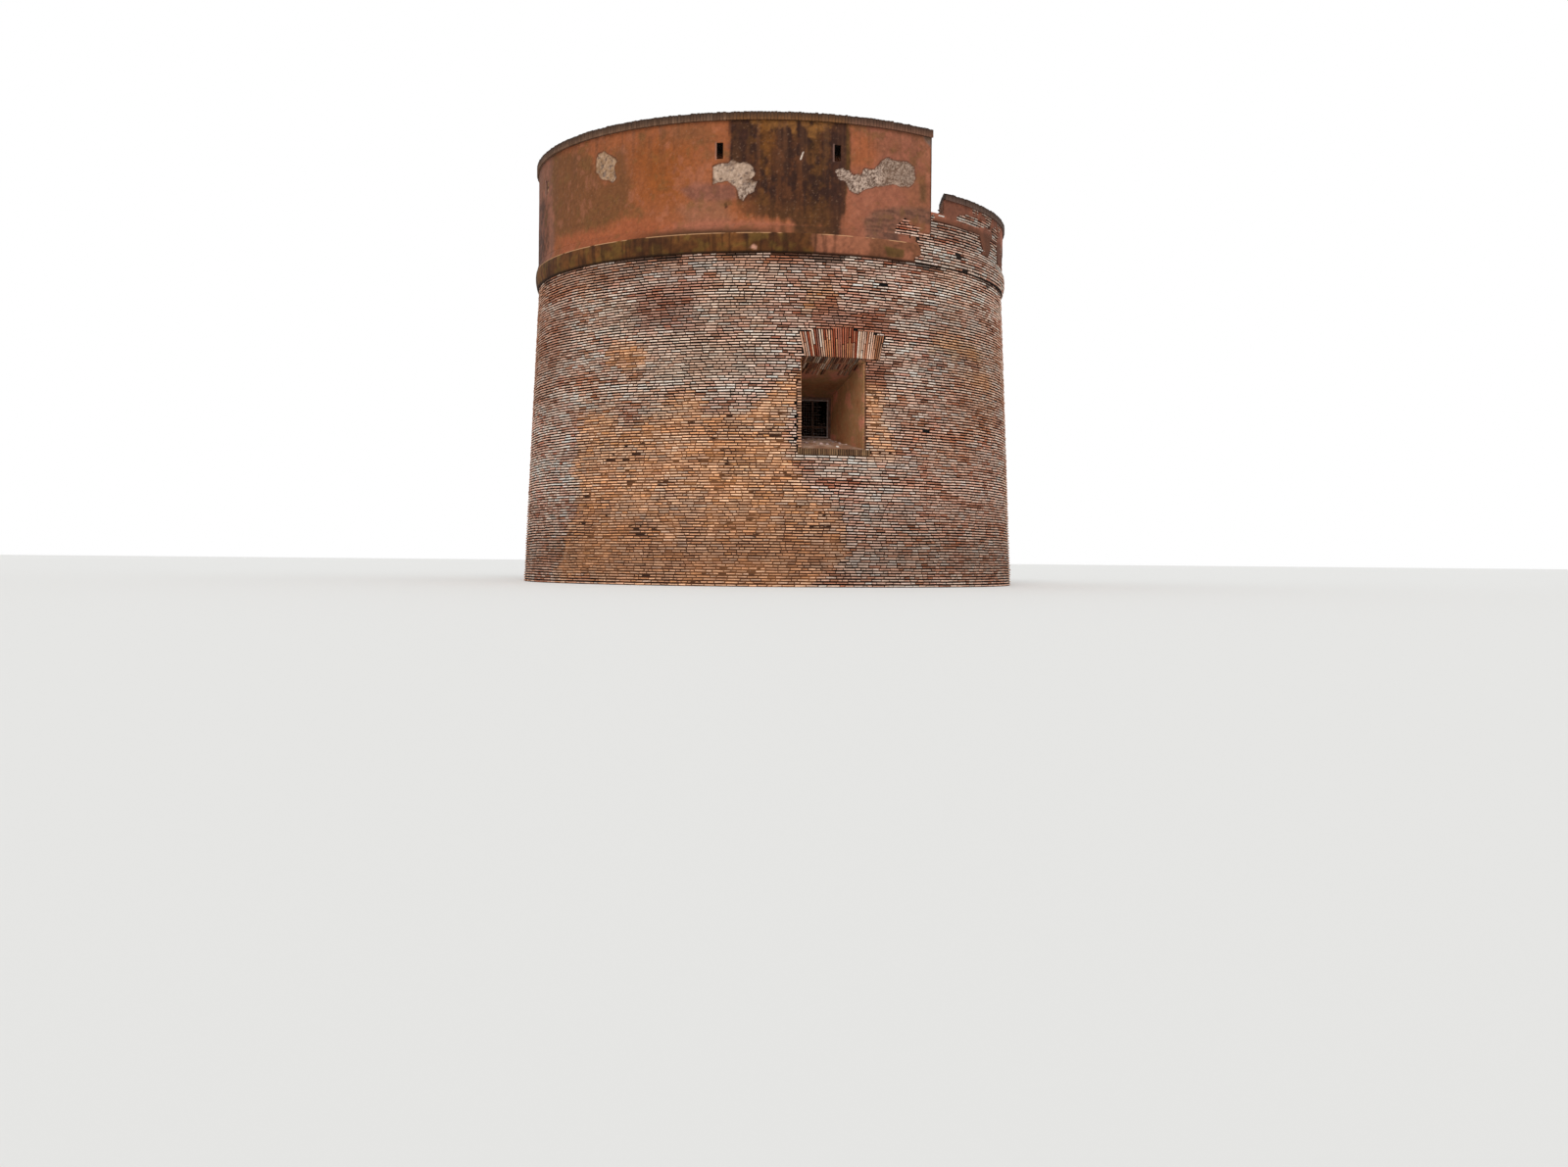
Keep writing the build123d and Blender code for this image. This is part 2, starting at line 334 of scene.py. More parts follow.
def meshPiece(name, points, faces, colour=None, smoothShaded=False, material=None):
    mesh = bpy.data.meshes.new(name)
    points = np.asarray(points, np.float32).reshape(-1, 3)
    faces = np.asarray(faces, np.int32)
    mesh.vertices.add(len(points))
    mesh.vertices.foreach_set("co", points.ravel())
    mesh.loops.add(faces.size)
    mesh.loops.foreach_set("vertex_index", faces.ravel())
    mesh.polygons.add(len(faces))
    mesh.polygons.foreach_set("loop_start", np.arange(0, faces.size, faces.shape[1], dtype=np.int32))
    mesh.update(calc_edges=True)
    mesh.polygons.foreach_set("use_smooth", np.full(len(faces), smoothShaded))
    if colour is not None:
        tint = np.ones((len(points), 4), np.float32)
        tint[:, :3] = colour.reshape(-1, 3)
        mesh.attributes.new("tint", "FLOAT_COLOR", "POINT").data.foreach_set("color", tint.ravel())
    piece = bpy.data.objects.new(name, mesh)
    bpy.context.scene.collection.objects.link(piece)
    if material is not None:
        mesh.materials.append(material)
    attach(piece, "root")
    print("made", name, len(faces), "faces")
    return piece


ring = np.array([0, 1, 2, 3])
after = np.array([1, 2, 3, 0])
blockFaces = np.concatenate([
    np.stack([ring, after, 4 + after, 4 + ring], 1),           # sides
    np.stack([4 + ring, 4 + after, 8 + after, 8 + ring], 1),   # worn edges
    [[8, 9, 10, 11], [3, 2, 1, 0]]])                           # face and back
blockPoints = 12                                               # three rings of four corners
# share of its colour that a block has at its back, at its outline and on its face: painted shade
# that darkens the joints and the worn edges round each face, and makes those edges redder
blockPaintedShades = np.array([(0.17, 0.12, 0.09), (0.72, 0.57, 0.48), (1.0, 1.0, 1.0)])


def blockMesh(points):
    # points and faces of blocks whose points are given as three rings of four each
    faces = (np.arange(len(points)) * blockPoints)[:, None, None] + blockFaces[None]
    return points.reshape(-1, 3), faces.reshape(-1, 4)


def blocks(corners, lift, surface, scale, rng, bevel=0.005, depth=0.006, jitter=0.0035):
    # Each block has three rings of four corners: one behind the surface, one at its outline
    # near its lifted face, and one drawn in by the bevel on the face. Corners are given in the
    # surface's two parameters, counter-clockwise from outside; scale is metres per unit of the first.
    count = len(corners)
    unit = np.array([scale, 1.0])
    metres = corners * unit
    middle = metres.mean(1, keepdims=True)
    size = np.ptp(metres, axis=1)[:, None, :] + 1e-6
    worn = metres + rng.uniform(-jitter, jitter, metres.shape)
    face = middle + (worn - middle) * (1 - 2 * np.minimum(bevel / size, 0.3))
    rings = np.stack([metres, worn, face], 1) / unit
    out = np.zeros((count, 3, 4))
    out[:, 0] = -np.broadcast_to(np.asarray(depth), count)[:, None]
    tilt = rng.uniform(-1.2, 1.2, (count, 4)) * jitter
    out[:, 1] = lift[:, None] - bevel * 0.8 + tilt
    out[:, 2] = lift[:, None] + tilt
    return blockMesh(surface(rings[..., 0], rings[..., 1], out))


def blockPiece(name, corners, lift, surface, scale, rng, colour, slot, material, **shape):
    points, faces = blocks(corners, lift, surface, scale, rng, **shape)
    # painted shade: each ring of a block takes its share of the colour
    shade = np.tile(np.repeat(blockPaintedShades, 4, axis=0), (len(corners), 1))
    return meshPiece(name, points, faces, np.repeat(colour, blockPoints, 0) * shade, False, material)


coursing = {"wave": 0.04, "uneven": 0.0015, "thinner": (-0.0015, 0.0025), "shortestPiece": 0.006}


def courses(low, high, start, end, radius, rng, shortest=0.07, longest=0.24):
    # Bricks in courses round the wall, as rows of low and high azimuth in radians and low and
    # high z. Lengths are random and scaled so that each course fills its span.
    pitch = tower["coursePitch"]
    rows = max(1, int(round((high - low) / pitch)))
    span = np.radians(end - start)
    count = int(span * radius / ((shortest + longest) / 2))
    ends = np.cumsum(rng.uniform(shortest, longest, (rows, count)), 1)
    ends *= span / ends[:, -1:]
    starts = np.concatenate([np.zeros((rows, 1)), ends[:, :-1]], 1)
    if start + 360 == end:
        # round a whole circle the courses don't all begin on one line
        shift = rng.uniform(0, 0.05, (rows, 1))
        starts, ends = starts + shift, ends + shift
    z = low + (high - low) * np.arange(rows) / rows
    z = np.broadcast_to(z[:, None], starts.shape)
    # courses wave a little, but for the lowest and the highest ones
    along = (starts + np.radians(start)) * radius
    wave = coursing["wave"] * (fractal(np.stack([along, z, 0 * z], -1), 1.1, 3, 7) - 0.5)
    wave = wave * smooth(z, low, low + 0.4) * smooth(z, high - 0.05, high - 0.4)
    wave = wave + rng.uniform(-coursing["uneven"], coursing["uneven"], starts.shape)
    thinner = rng.uniform(*coursing["thinner"], starts.shape)
    gap = tower["endJoint"] / 2 / radius
    bed = tower["bedJoint"] / 2
    columns = [np.radians(start) + starts + gap, np.radians(start) + ends - gap,
               z + bed + wave + thinner, z + (high - low) / rows - bed + wave - thinner]
    return np.stack([column.ravel() for column in columns], 1)


def cut(bricks, hole):
    # Trims bricks at a hole, which gives its low and high azimuth at a height, or low over high
    # where there is none. A brick across a narrow hole becomes two.
    low, high = hole((bricks[:, 2] + bricks[:, 3]) / 2)
    whole = (low > high) | (bricks[:, 1] <= low) | (bricks[:, 0] >= high)
    left = ~whole & (bricks[:, 0] < low)
    right = ~whole & (bricks[:, 1] > high)
    before, beyond = bricks[left].copy(), bricks[right].copy()
    before[:, 1] = low[left]
    beyond[:, 0] = high[right]
    kept = np.concatenate([bricks[whole], before, beyond])
    return kept[kept[:, 1] - kept[:, 0] > coursing["shortestPiece"]]


def quads(*corners):
    # corners of blocks from four pairs of coordinate arrays
    return np.stack([np.stack(corner, -1) for corner in corners], 1)


def cornersOf(bricks):
    a0, a1, z0, z1 = bricks.T
    return quads((a0, z0), (a1, z0), (a1, z1), (a0, z1))


def middlesOf(bricks):
    # azimuth and height of each brick's middle
    return bricks[:, :2].mean(1), bricks[:, 2:].mean(1)


def hollow(inside, low, high):
    # sides of a hole where inside is true, and a low side over the high one elsewhere
    return np.where(inside, low, 9.0), np.where(inside, high, -9.0)


def slotHole(azimuth, width, low, high, radius, sign=1):
    # hole of even width at an azimuth, between two heights
    half = width / 2 / radius
    centre = np.radians(azimuth) * sign
    return lambda z: hollow((z > low) & (z < high), centre - half, centre + half)


# Materials

def newMaterial(name, roughness=0.9):
    material = bpy.data.materials.new(name)
    material.use_nodes = True
    tree = material.node_tree
    shader = tree.nodes["Principled BSDF"]
    shader.inputs["Roughness"].default_value = roughness
    shader.inputs["Specular IOR Level"].default_value = 0.2
    return material, tree, shader


def node(tree, kind, inputs=(), **settings):
    made = tree.nodes.new(kind)
    for key, value in settings.items():
        setattr(made, key, value)
    for key, value in dict(inputs).items():
        if isinstance(value, bpy.types.NodeSocket):
            tree.links.new(value, made.inputs[key])
        else:
            made.inputs[key].default_value = value
    return made


def math(tree, operation, a, b=0.0):
    return node(tree, "ShaderNodeMath", {0: a, 1: b}, operation=operation).outputs[0]


def noiseNode(tree, vector, scale, detail=4.0, roughness=0.6):
    return node(tree, "ShaderNodeTexNoise", {"Vector": vector, "Scale": scale, "Detail": detail,
                                             "Roughness": roughness}).outputs["Fac"]


def ramp(tree, value, stops):
    made = node(tree, "ShaderNodeValToRGB", {"Fac": value})
    elements = made.color_ramp.elements
    while len(elements) < len(stops):
        elements.new(0.5)
    for element, (position, colour) in zip(elements, stops):
        element.position = position
        element.color = colour
    return made.outputs["Color"]


def mixColour(tree, share, a, b, blend="MIX"):
    return node(tree, "ShaderNodeMix", {0: share, 6: a, 7: b}, data_type="RGBA", blend_type=blend).outputs[2]


def mapRange(tree, value, low, high, to=(0.0, 1.0)):
    return node(tree, "ShaderNodeMapRange", {"Value": value, "From Min": low, "From Max": high,
                                             "To Min": to[0], "To Max": to[1]}).outputs["Result"]


def bump(tree, shader, height, distance, strength=1.0):
    made = node(tree, "ShaderNodeBump", {"Height": height, "Distance": distance, "Strength": strength})
    tree.links.new(made.outputs["Normal"], shader.inputs["Normal"])


def baseColour(tree, shader, colour, value):
    # the shader's base colour as a colour times a value
    grey = node(tree, "ShaderNodeCombineColor", {0: value, 1: value, 2: value}).outputs[0]
    tree.links.new(mixColour(tree, 1.0, colour, grey, "MULTIPLY"), shader.inputs["Base Color"])


def tintedMaterial(name, grain, contrast, bumpDistance, roughness=0.9):
    # colour from the piece's own tint, broken up by two sizes of noise, with a grain in the bump
    material, tree, shader = newMaterial(name, roughness)
    place = node(tree, "ShaderNodeTexCoord").outputs["Object"]
    tint = node(tree, "ShaderNodeAttribute", attribute_name="tint").outputs["Color"]
    fine = noiseNode(tree, place, grain, 6.0, 0.65)
    broad = noiseNode(tree, place, grain / 9, 4.0, 0.6)
    speck = mapRange(tree, fine, 0.3, 0.7, (1 - contrast, 1 + contrast))
    patch = mapRange(tree, broad, 0.3, 0.7, (1 - contrast / 2, 1 + contrast / 2))
    baseColour(tree, shader, tint, math(tree, "MULTIPLY", speck, patch))
    bump(tree, shader, fine, bumpDistance)
    return material


def wallMaterial(name, brickColours, jointColour, insideColour, slotShade=None):
    # Mortar in the joints of faces that bricks cover, and a drawn brickwork on the other faces,
    # told apart by how far a face's normal points away from the tower's axis. A shade colour
    # paints shade on the loopholes' cheeks, deep in the slots.
    material, tree, shader = newMaterial(name)
    place = node(tree, "ShaderNodeTexCoord").outputs["Object"]
    parts = node(tree, "ShaderNodeSeparateXYZ", {0: place}).outputs
    negative = math(tree, "MULTIPLY", parts[1], -1.0)
    azimuth = math(tree, "ARCTAN2", parts[0], negative)
    squares = math(tree, "ADD", math(tree, "MULTIPLY", parts[0], parts[0]),
                   math(tree, "MULTIPLY", parts[1], parts[1]))
    radius = math(tree, "SQRT", squares)
    along = math(tree, "ADD", math(tree, "MULTIPLY", azimuth, 4.0), radius)
    flat = node(tree, "ShaderNodeCombineXYZ", {0: along, 1: parts[2], 2: 0.0}).outputs[0]
    drawn = node(tree, "ShaderNodeTexBrick", {
        "Vector": flat, "Color1": brickColours[0], "Color2": brickColours[1], "Mortar": jointColour,
        "Scale": 1.0, "Mortar Size": 0.005, "Mortar Smooth": 0.3, "Brick Width": 0.22,
        "Row Height": tower["coursePitch"]})
    broad = noiseNode(tree, place, 1.6, 5.0)
    fine = noiseNode(tree, place, 60.0, 5.0)
    faded = mapRange(tree, broad, 0.35, 0.75, (0.0, 0.6))
    worn = mixColour(tree, faded, drawn.outputs["Color"], insideColour)
    normal = node(tree, "ShaderNodeNewGeometry").outputs["Normal"]
    level = node(tree, "ShaderNodeCombineXYZ", {0: parts[0], 1: parts[1], 2: 0.0}).outputs[0]
    outward = node(tree, "ShaderNodeVectorMath", {0: level}, operation="NORMALIZE").outputs[0]
    facing = node(tree, "ShaderNodeVectorMath", {0: outward, 1: normal}, operation="DOT_PRODUCT")
    covered = mapRange(tree, facing.outputs["Value"], 0.6, 0.8)
    joint = mixColour(tree, mapRange(tree, fine, 0.3, 0.7), jointColour,
                      tuple(1.5 * c for c in jointColour[:3]) + (1.0,))
    shown = mixColour(tree, covered, worn, joint)
    # painted shade inside the loopholes, on their cheeks towards the outer face
    if slotShade:
        offset = math(tree, "ABSOLUTE", math(tree, "SUBTRACT", parts[2], tower["loopholeHeight"]))
        half = tower["loopholeInner"][1] / 2
        level = mapRange(tree, offset, half, half + 0.02, (1.0, 0.0))
        inner = mapRange(tree, radius, highInner + 0.2, highInner + 0.5)
        ends = [np.radians(tower["highEnd"] - 2), np.radians(tower["highEnd"] - tower["highSpan"] + 2)]
        between = math(tree, "MULTIPLY", math(tree, "LESS_THAN", azimuth, ends[0]),
                       math(tree, "GREATER_THAN", azimuth, ends[1]))
        slotShadeShare = math(tree, "MULTIPLY", math(tree, "MULTIPLY", level, inner), between)
        shown = mixColour(tree, slotShadeShare, shown, slotShade)
    baseColour(tree, shader, shown, mapRange(tree, fine, 0.3, 0.7, (0.82, 1.15)))
    height = math(tree, "ADD", math(tree, "MULTIPLY", drawn.outputs["Fac"], -1.0),
                  math(tree, "MULTIPLY", fine, 0.4))
    bump(tree, shader, height, 0.006)
    return material


def spottedMaterial(name, colours, scale, bumpDistance, roughness=0.9, undersideShade=1.0):
    # ramp of colours over a broad noise, with a finer noise in value and bump; faces that look
    # down get painted shade, darkened by the value given for undersides
    material, tree, shader = newMaterial(name, roughness)
    place = node(tree, "ShaderNodeTexCoord").outputs["Object"]
    broad = noiseNode(tree, place, scale, 6.0, 0.65)
    fine = noiseNode(tree, place, scale * 12, 5.0)
    stops = [(0.3 + 0.4 * n / (len(colours) - 1), rgba(*colour)) for n, colour in enumerate(colours)]
    speck = mapRange(tree, fine, 0.3, 0.7, (0.85, 1.12))
    if undersideShade < 1.0:
        normal = node(tree, "ShaderNodeNewGeometry").outputs["Normal"]
        up = node(tree, "ShaderNodeSeparateXYZ", {0: normal}).outputs[2]
        speck = math(tree, "MULTIPLY", speck, mapRange(tree, up, -0.6, -0.1, (undersideShade, 1.0)))
    baseColour(tree, shader, ramp(tree, broad, stops), speck)
    bump(tree, shader, fine, bumpDistance)
    return material


brickMaterial = tintedMaterial("weathered_brick", 90.0, 0.40, 0.004)
coatMaterial = tintedMaterial("stained_render", 40.0, 0.10, 0.003)
drawnBrick = ((rgba(150, 98, 74), rgba(178, 132, 104)), rgba(13, 8, 6), rgba(140, 110, 88))
wallCad = wallMaterial("mortar_and_brick", *drawnBrick)
highCad = wallMaterial("high_wall_brick", *drawnBrick, slotShade=rgba(34, 22, 16))
copeCad = spottedMaterial("cope_mortar", ((52, 44, 40), (78, 68, 62)), 6.0, 0.004)
plasterCad = spottedMaterial("reveal_plaster", ((126, 92, 56), (166, 112, 76), (164, 124, 84),
(204, 130, 104),
                                                (190, 136, 108)), 1.5, 0.004, undersideShade=0.55)
ironCad = spottedMaterial("dull_paint", ((58, 38, 30), (84, 60, 48), (112, 76, 58)), 14.0, 0.001, 0.6)
wireCad = spottedMaterial("pale_rust", ((112, 98, 92), (150, 134, 128)), 20.0, 0.001, 0.6)
cordonCad = spottedMaterial("cordon_mortar", ((24, 16, 12), (44, 30, 22)), 5.0, 0.004)
pavingCad = spottedMaterial("paving_bed", ((92, 80, 68), (124, 108, 92)), 4.0, 0.004)
# the finish of each solid, by how its name starts
finishOf = {
    "base_wall": wallCad, "room_wall": wallCad, "apron": wallCad, "head": wallCad, "arch": wallCad,
    "sill_course": wallCad, "high_wall": highCad, "low_wall": wallCad, "terrace_vault": wallCad,
    "high_cope": copeCad, "merlon_cope": copeCad, "reveal_plaster": plasterCad, "window_frame": ironCad,
    "cordon": cordonCad, "terrace_floor": pavingCad, "room_floor": pavingCad,
}
for name, cadPiece in nodes.items():
    kind = max((key for key in finishOf if name.startswith(key)), key=len)
    cadPiece.data.materials.clear()
    cadPiece.data.materials.append(finishOf[kind])
print("finishes set")

# Bricks: their colours from dark to pale by tone, how tones are drawn and shifted, how far the
# bricks stand proud and how few are missing
brick = {
    "ramp": [(0.0, (100, 62, 46)), (0.3, (162, 114, 92)), (0.55, (212, 173, 153)), (0.8, (244, 221, 203)),
             (1.0, (254, 248, 238))],
    "redder": (176, 96, 68), "tan": (190, 140, 92), "palest": 0.88,
    "toneShape": (5.2, 2.7), "broadTone": 0.3, "courseTone": 0.9, "redderOnes": 0.08,
    "lift": 0.020, "liftSpread": 0.008, "missing": 0.0003,
}
# mortar smeared into the joints and over some bricks, by outlines of azimuth and height
smears = {
    "lowerLeft": [(-64, 0.9), (-60, 3.15), (-52, 3.14), (-45.5, 2.98), (-40, 3.06), (-35.9, 3.16),
                  (-31, 3.38), (-26, 3.32), (-22.9, 3.2), (-16.7, 3.04), (-13.5, 3.58), (-10.7, 3.67),
                  (-7.6, 3.73), (-7.4, 2.4), (-4, 1.9), (2, 1.3), (4, 0.6), (-4, -0.2), (-40, -0.2),
                  (-66, 0.2)],
    "upperLeft": [(-51.2, 4.4), (-46.1, 4.4), (-43.2, 4.26), (-43.2, 4.13), (-46.1, 3.97), (-51.1, 4.06)],
    "besideOpening": [(7.2, 3.62), (9.8, 3.62), (11.2, 3.06), (14.8, 2.6), (17.0, 2.2), (7.2, 2.2)],
    "rightUpper": [(25.0, 4.56), (32.0, 4.68), (42.0, 4.52), (41.6, 4.38), (30.9, 4.30), (24.5, 4.42)],
    "rightLower": [(31.0, 4.00), (37.2, 4.08), (49.5, 4.01), (49.6, 3.85), (40.2, 3.88)],
    "backLow": [(118, 0.2), (121, 2.1), (129, 2.9), (140, 2.6), (150, 3.2), (163, 2.7), (166, 0.3)],
    "backHigh": [(214, 3.4), (218, 4.5), (229, 4.8), (238, 4.1), (233, 3.3)],
    "side": [(84, 0.9), (88, 2.6), (97, 2.9), (106, 1.9), (104, 0.7)],
}
smear = {"step": 0.034, "edge": 0.24, "ragged": 1.1, "top": 5.0, "lastAzimuth": 240.0,
         "spans": {"front": (-70.0, 54.0), "side": (80.0, 110.0), "back_right": (112.0, 170.0),
                   "back_left": (208.0, 242.0)},
         "colours": ((60, 38, 26), (112, 74, 48)), "brickColour": (252, 184, 122), "overBricks": 0.55}
# Films of dirt on the bricks, two with painted shade in them: outline, softness of its edge, screen colour,
# strength
films = [
    ([(-95, 5.95), (-30, 5.95), (-30, 5.7), (-44.5, 5.5), (-59, 5.47), (-95, 5.46)], 0.12,
     (174, 118, 86), 0.6),
    ([(-30, 5.95), (-22, 5.95), (-22, 5.8), (-30, 5.74)], 0.08, (136, 98, 70), 0.6),
    ([(-15, 5.95), (-8, 5.95), (-8, 5.78), (-15, 5.74)], 0.06, (150, 88, 62), 0.9),
    ([(-24, 5.95), (0, 5.95), (0, 5.6), (-24, 5.6)], 0.12, (206, 134, 96), 0.4),
    # painted shadow under the cordon, along the top of the drum
    ([(-95, 5.97), (95, 5.97), (95, 5.92), (-95, 5.92)], 0.03, (70, 46, 34), 0.8),
    ([(-44.5, 5.46), (-30.2, 5.38), (-29.4, 4.64), (-44.0, 4.63)], 0.14, (170, 112, 88), 0.6),
    # browner bricks, and darker towards the left limb as painted shade
    ([(-95, 5.4), (-72, 5.3), (-66, 4.6), (-74, 3.4), (-95, 3.4)], 0.25, (176, 122, 92), 0.5),
    ([(-55, 5.3), (-44.5, 5.2), (-44.2, 4.5), (-55, 4.5)], 0.10, (234, 208, 182), 0.35),
    ([(-42.3, 4.5), (-14.9, 4.5), (-14.8, 3.69), (-40.2, 3.73)], 0.15, (242, 214, 188), 0.45),
    ([(-29.5, 5.38), (-15.0, 5.36), (-14.9, 4.58), (-29.4, 4.6)], 0.15, (228, 200, 174), 0.25),
    ([(-8, 5.4), (-2, 5.35), (1, 5.0), (-6, 5.0)], 0.1, (190, 128, 70), 0.6),
    ([(-3.3, 5.04), (7.5, 4.98), (15.4, 4.77), (18.1, 4.4), (12.2, 4.46), (7.5, 4.62), (-3.3, 4.62)], 0.06,
     (182, 112, 84), 0.75),
    ([(7.2, 4.12), (12.7, 4.07), (12.7, 3.66), (7.3, 3.66)], 0.08, (168, 104, 78), 0.75),
    ([(22, 5.2), (50, 5.1), (60, 4.0), (56, 3.2), (30, 3.2), (22, 3.6)], 0.4, (168, 116, 92), 0.3),
    ([(14, 3.3), (50, 3.3), (56, 1.0), (8, 1.0)], 0.4, (212, 138, 104), 0.3),
    ([(25.0, 4.6), (32.0, 4.73), (43.3, 4.54), (41.6, 4.36), (30.9, 4.26), (24.0, 4.45)], 0.06,
     (206, 160, 112), 0.35),
    ([(31.0, 4.02), (37.2, 4.1), (49.5, 4.03), (49.6, 3.81), (40.2, 3.85)], 0.06, (206, 156, 120), 0.35),
    ([(-95, 1.2), (95, 1.2), (95, -0.2), (-95, -0.2)], 0.7, (150, 104, 78), 0.5),
    ([(70, 5.9), (230, 5.9), (230, -0.2), (70, -0.2)], 0.8, (196, 138, 106), 0.35),
    ([(-112, 5.9), (-95, 5.9), (-95, -0.2), (-112, -0.2)], 0.6, (196, 138, 106), 0.35),
]


def brickColour(points, rng):
    # each brick's tone is drawn at random and shifted by broad noise, and by noise stretched along
    # the courses, so that whole stretches are paler or browner; some bricks and stretches are redder
    count = len(points)
    broad, along = fractal(points, 0.7, 5, 13) - 0.5, fractal(points * (1, 1, 6), 0.7, 4, 19) - 0.5
    tone = rng.beta(*brick["toneShape"], count) + brick["broadTone"] * broad + brick["courseTone"] * along
    stops = [stop for stop, colour in brick["ramp"]]
    colours = linears(*[colour for stop, colour in brick["ramp"]])
    chosen = np.stack([np.interp(tone, stops, colours[:, n]) for n in range(3)], -1)
    redder = smooth(fractal(points, 0.35, 4, 9), 0.54, 0.68) * 0.4
    redder = redder + (rng.uniform(size=count) < brick["redderOnes"]) * 0.5
    chosen = layered(chosen, (brick["redder"], np.minimum(redder, 0.8) * 0.85),
                     (brick["tan"], smooth(fractal(points, 1.7, 4, 15), 0.46, 0.66) * 0.25))
    chosen = grained(chosen, points, 0.98, 0.6, 0.3, 4, 17)
    return chosen * np.minimum(1, brick["palest"] / chosen.max(1))[:, None]


def smearAt(azimuth, z, points):
    # share of smeared mortar: 1 well inside an outline, with an edge ragged by noise
    distance = nearest(wrapped(azimuth, smear["lastAzimuth"]), z, smears.values(), baseRadius)
    ragged = distance + smear["ragged"] * (fractal(points, 0.7, 5, 31) - 0.5)
    return smooth(ragged, smear["edge"] / 2, -smear["edge"])


def filmed(colour, azimuth, z, places, over, raggedness):
    # colours with films over them, whose outlines are ragged by noise
    turned = wrapped(azimuth, smear["lastAzimuth"])
    ragged = raggedness * (fractal(places, 0.4, 4, 27) - 0.5)
    for outline, edge, film, strength in over:
        distance = outlineDistance(turned, z, outline, baseRadius) + ragged
        colour = layered(colour, (film, smooth(distance, edge, -edge) * strength))
    return colour


def middlePoints(bricks, surface):
    # points at the bricks' middles on a surface
    a, z = middlesOf(bricks)
    return surface(a, z, 0 * a)


def brickwork(name, bricks, surface, radius, rng, slot="wall_brick", smeared=False, lift=None, shade=1.0):
    bricks = bricks[rng.uniform(size=len(bricks)) > brick["missing"]]
    places = middlePoints(bricks, surface)
    lift = (brick["lift"] if lift is None else lift) + rng.normal(0, brick["liftSpread"] / 2, len(bricks))
    colour = brickColour(places, rng) * shade
    if smeared:
        azimuth, z = middlesOf(bricks)
        tan = linear(*smear["brickColour"]) * rng.uniform(0.5, 1.45, (len(bricks), 1))
        colour = mixed(colour, tan, smearAt(azimuth, z, places) * smear["overBricks"])
        colour = filmed(colour, azimuth, z, places, films, 0.5)
    return blockPiece(name, cornersOf(bricks), lift, surface, radius, rng, colour, slot, brickMaterial)


def smearSheet(name, start, end):
    # mortar spread between and over the bricks: a grid on the drum that rises from behind the
    # wall's face to about the bricks' faces; cells that stay behind the wall are left out
    z = np.linspace(0.0, smear["top"], int(smear["top"] / smear["step"]) + 1)
    azimuth, level = np.meshgrid(azimuths(start, end, smear["step"], baseRadius), z, indexing="ij")
    p = drumFace(azimuth, level, 0.0)
    share = smearAt(azimuth, level, p)
    # the level over the whole share comes from two sizes of noise, so that some bricks show
    spread = 0.001 + 0.018 * fractal(p, 0.3, 4, 33) + 0.012 * (fractal(p, 0.07, 2, 35) - 0.5)
    lift = -behind + share * (behind + spread)
    holes = [kind(turn) for turn in embrasure["turns"].values() for kind in (openingHole, archHole, sillHole)]
    keep = cellsWith(share > 0.02) & outside(azimuth, level, holes)
    dark, light = linears(*smear["colours"])
    colour = mixed(dark, light, smooth(fractal(p, 0.35, 5, 37), 0.35, 0.65))
    # darker where the sheet lies deeper between the bricks: painted shade in the joints
    colour = mixed(dark, colour, smooth(lift, 0.0, 0.012))
    sheetPiece(name, drumFace(azimuth, level, lift), colour, keep, coatMaterial)


# The embrasures, as holes in the brickwork and as the slopes of their reveals
embrasure = {
    "turns": {"front": 0.0, "back": 180.0},
    "mouth": 0.60, "throat": 0.37, "throatFar": 3.386,
    "sillOuter": 2.47, "sillInner": 2.74, "headOuter": 4.10, "headInner": 3.55,
    "archLeft": -0.54, "archRight": 0.87, "archSkew": 0.095, "archEnd": 0.43, "archCrown": 0.53,
    "archBricks": 37, "archJoint": 0.020, "archSplit": (0.3, 0.7), "archWhole": 0.55,
    "archShares": (0.38, 0.27, 0.24, 0.11), "sillReach": 0.67, "sillCourse": 0.12, "sillBricks": 33,
    "quoinWidth": 0.095, "quoinTop": 3.70, "quoinColour": (206, 158, 128),
}
mouthFar = drumRadius((embrasure["sillInner"] + embrasure["headInner"]) / 2)


def onSlope(distance, inner, outer):
    # value on the line from the throat to the mouth
    return inner + (outer - inner) * (distance - embrasure["throatFar"]) / (mouthFar - embrasure["throatFar"])


def archBack(x):
    # height of the arch's curved back above its foot, a parabola through its crown and ends
    left = embrasure["archLeft"] - embrasure["archSkew"]
    right = embrasure["archRight"] + embrasure["archSkew"]
    share = (x - (left + right) / 2) / ((right - left) / 2)
    return embrasure["archCrown"] - (embrasure["archCrown"] - embrasure["archEnd"]) * share ** 2


def openingHole(turn, quoinShare=0):
    # mouth of the embrasure, wider on the left by the quoins where their share is 1
    def hole(z):
        half = np.arcsin(embrasure["mouth"] / drumRadius(z))
        inside = (z > embrasure["sillOuter"]) & (z < embrasure["headOuter"])
        centre = np.radians(turn)
        quoin = quoinShare * embrasure["quoinWidth"] / baseRadius * (z < embrasure["quoinTop"])
        return hollow(inside, centre - half - quoin, centre + half)
    return hole


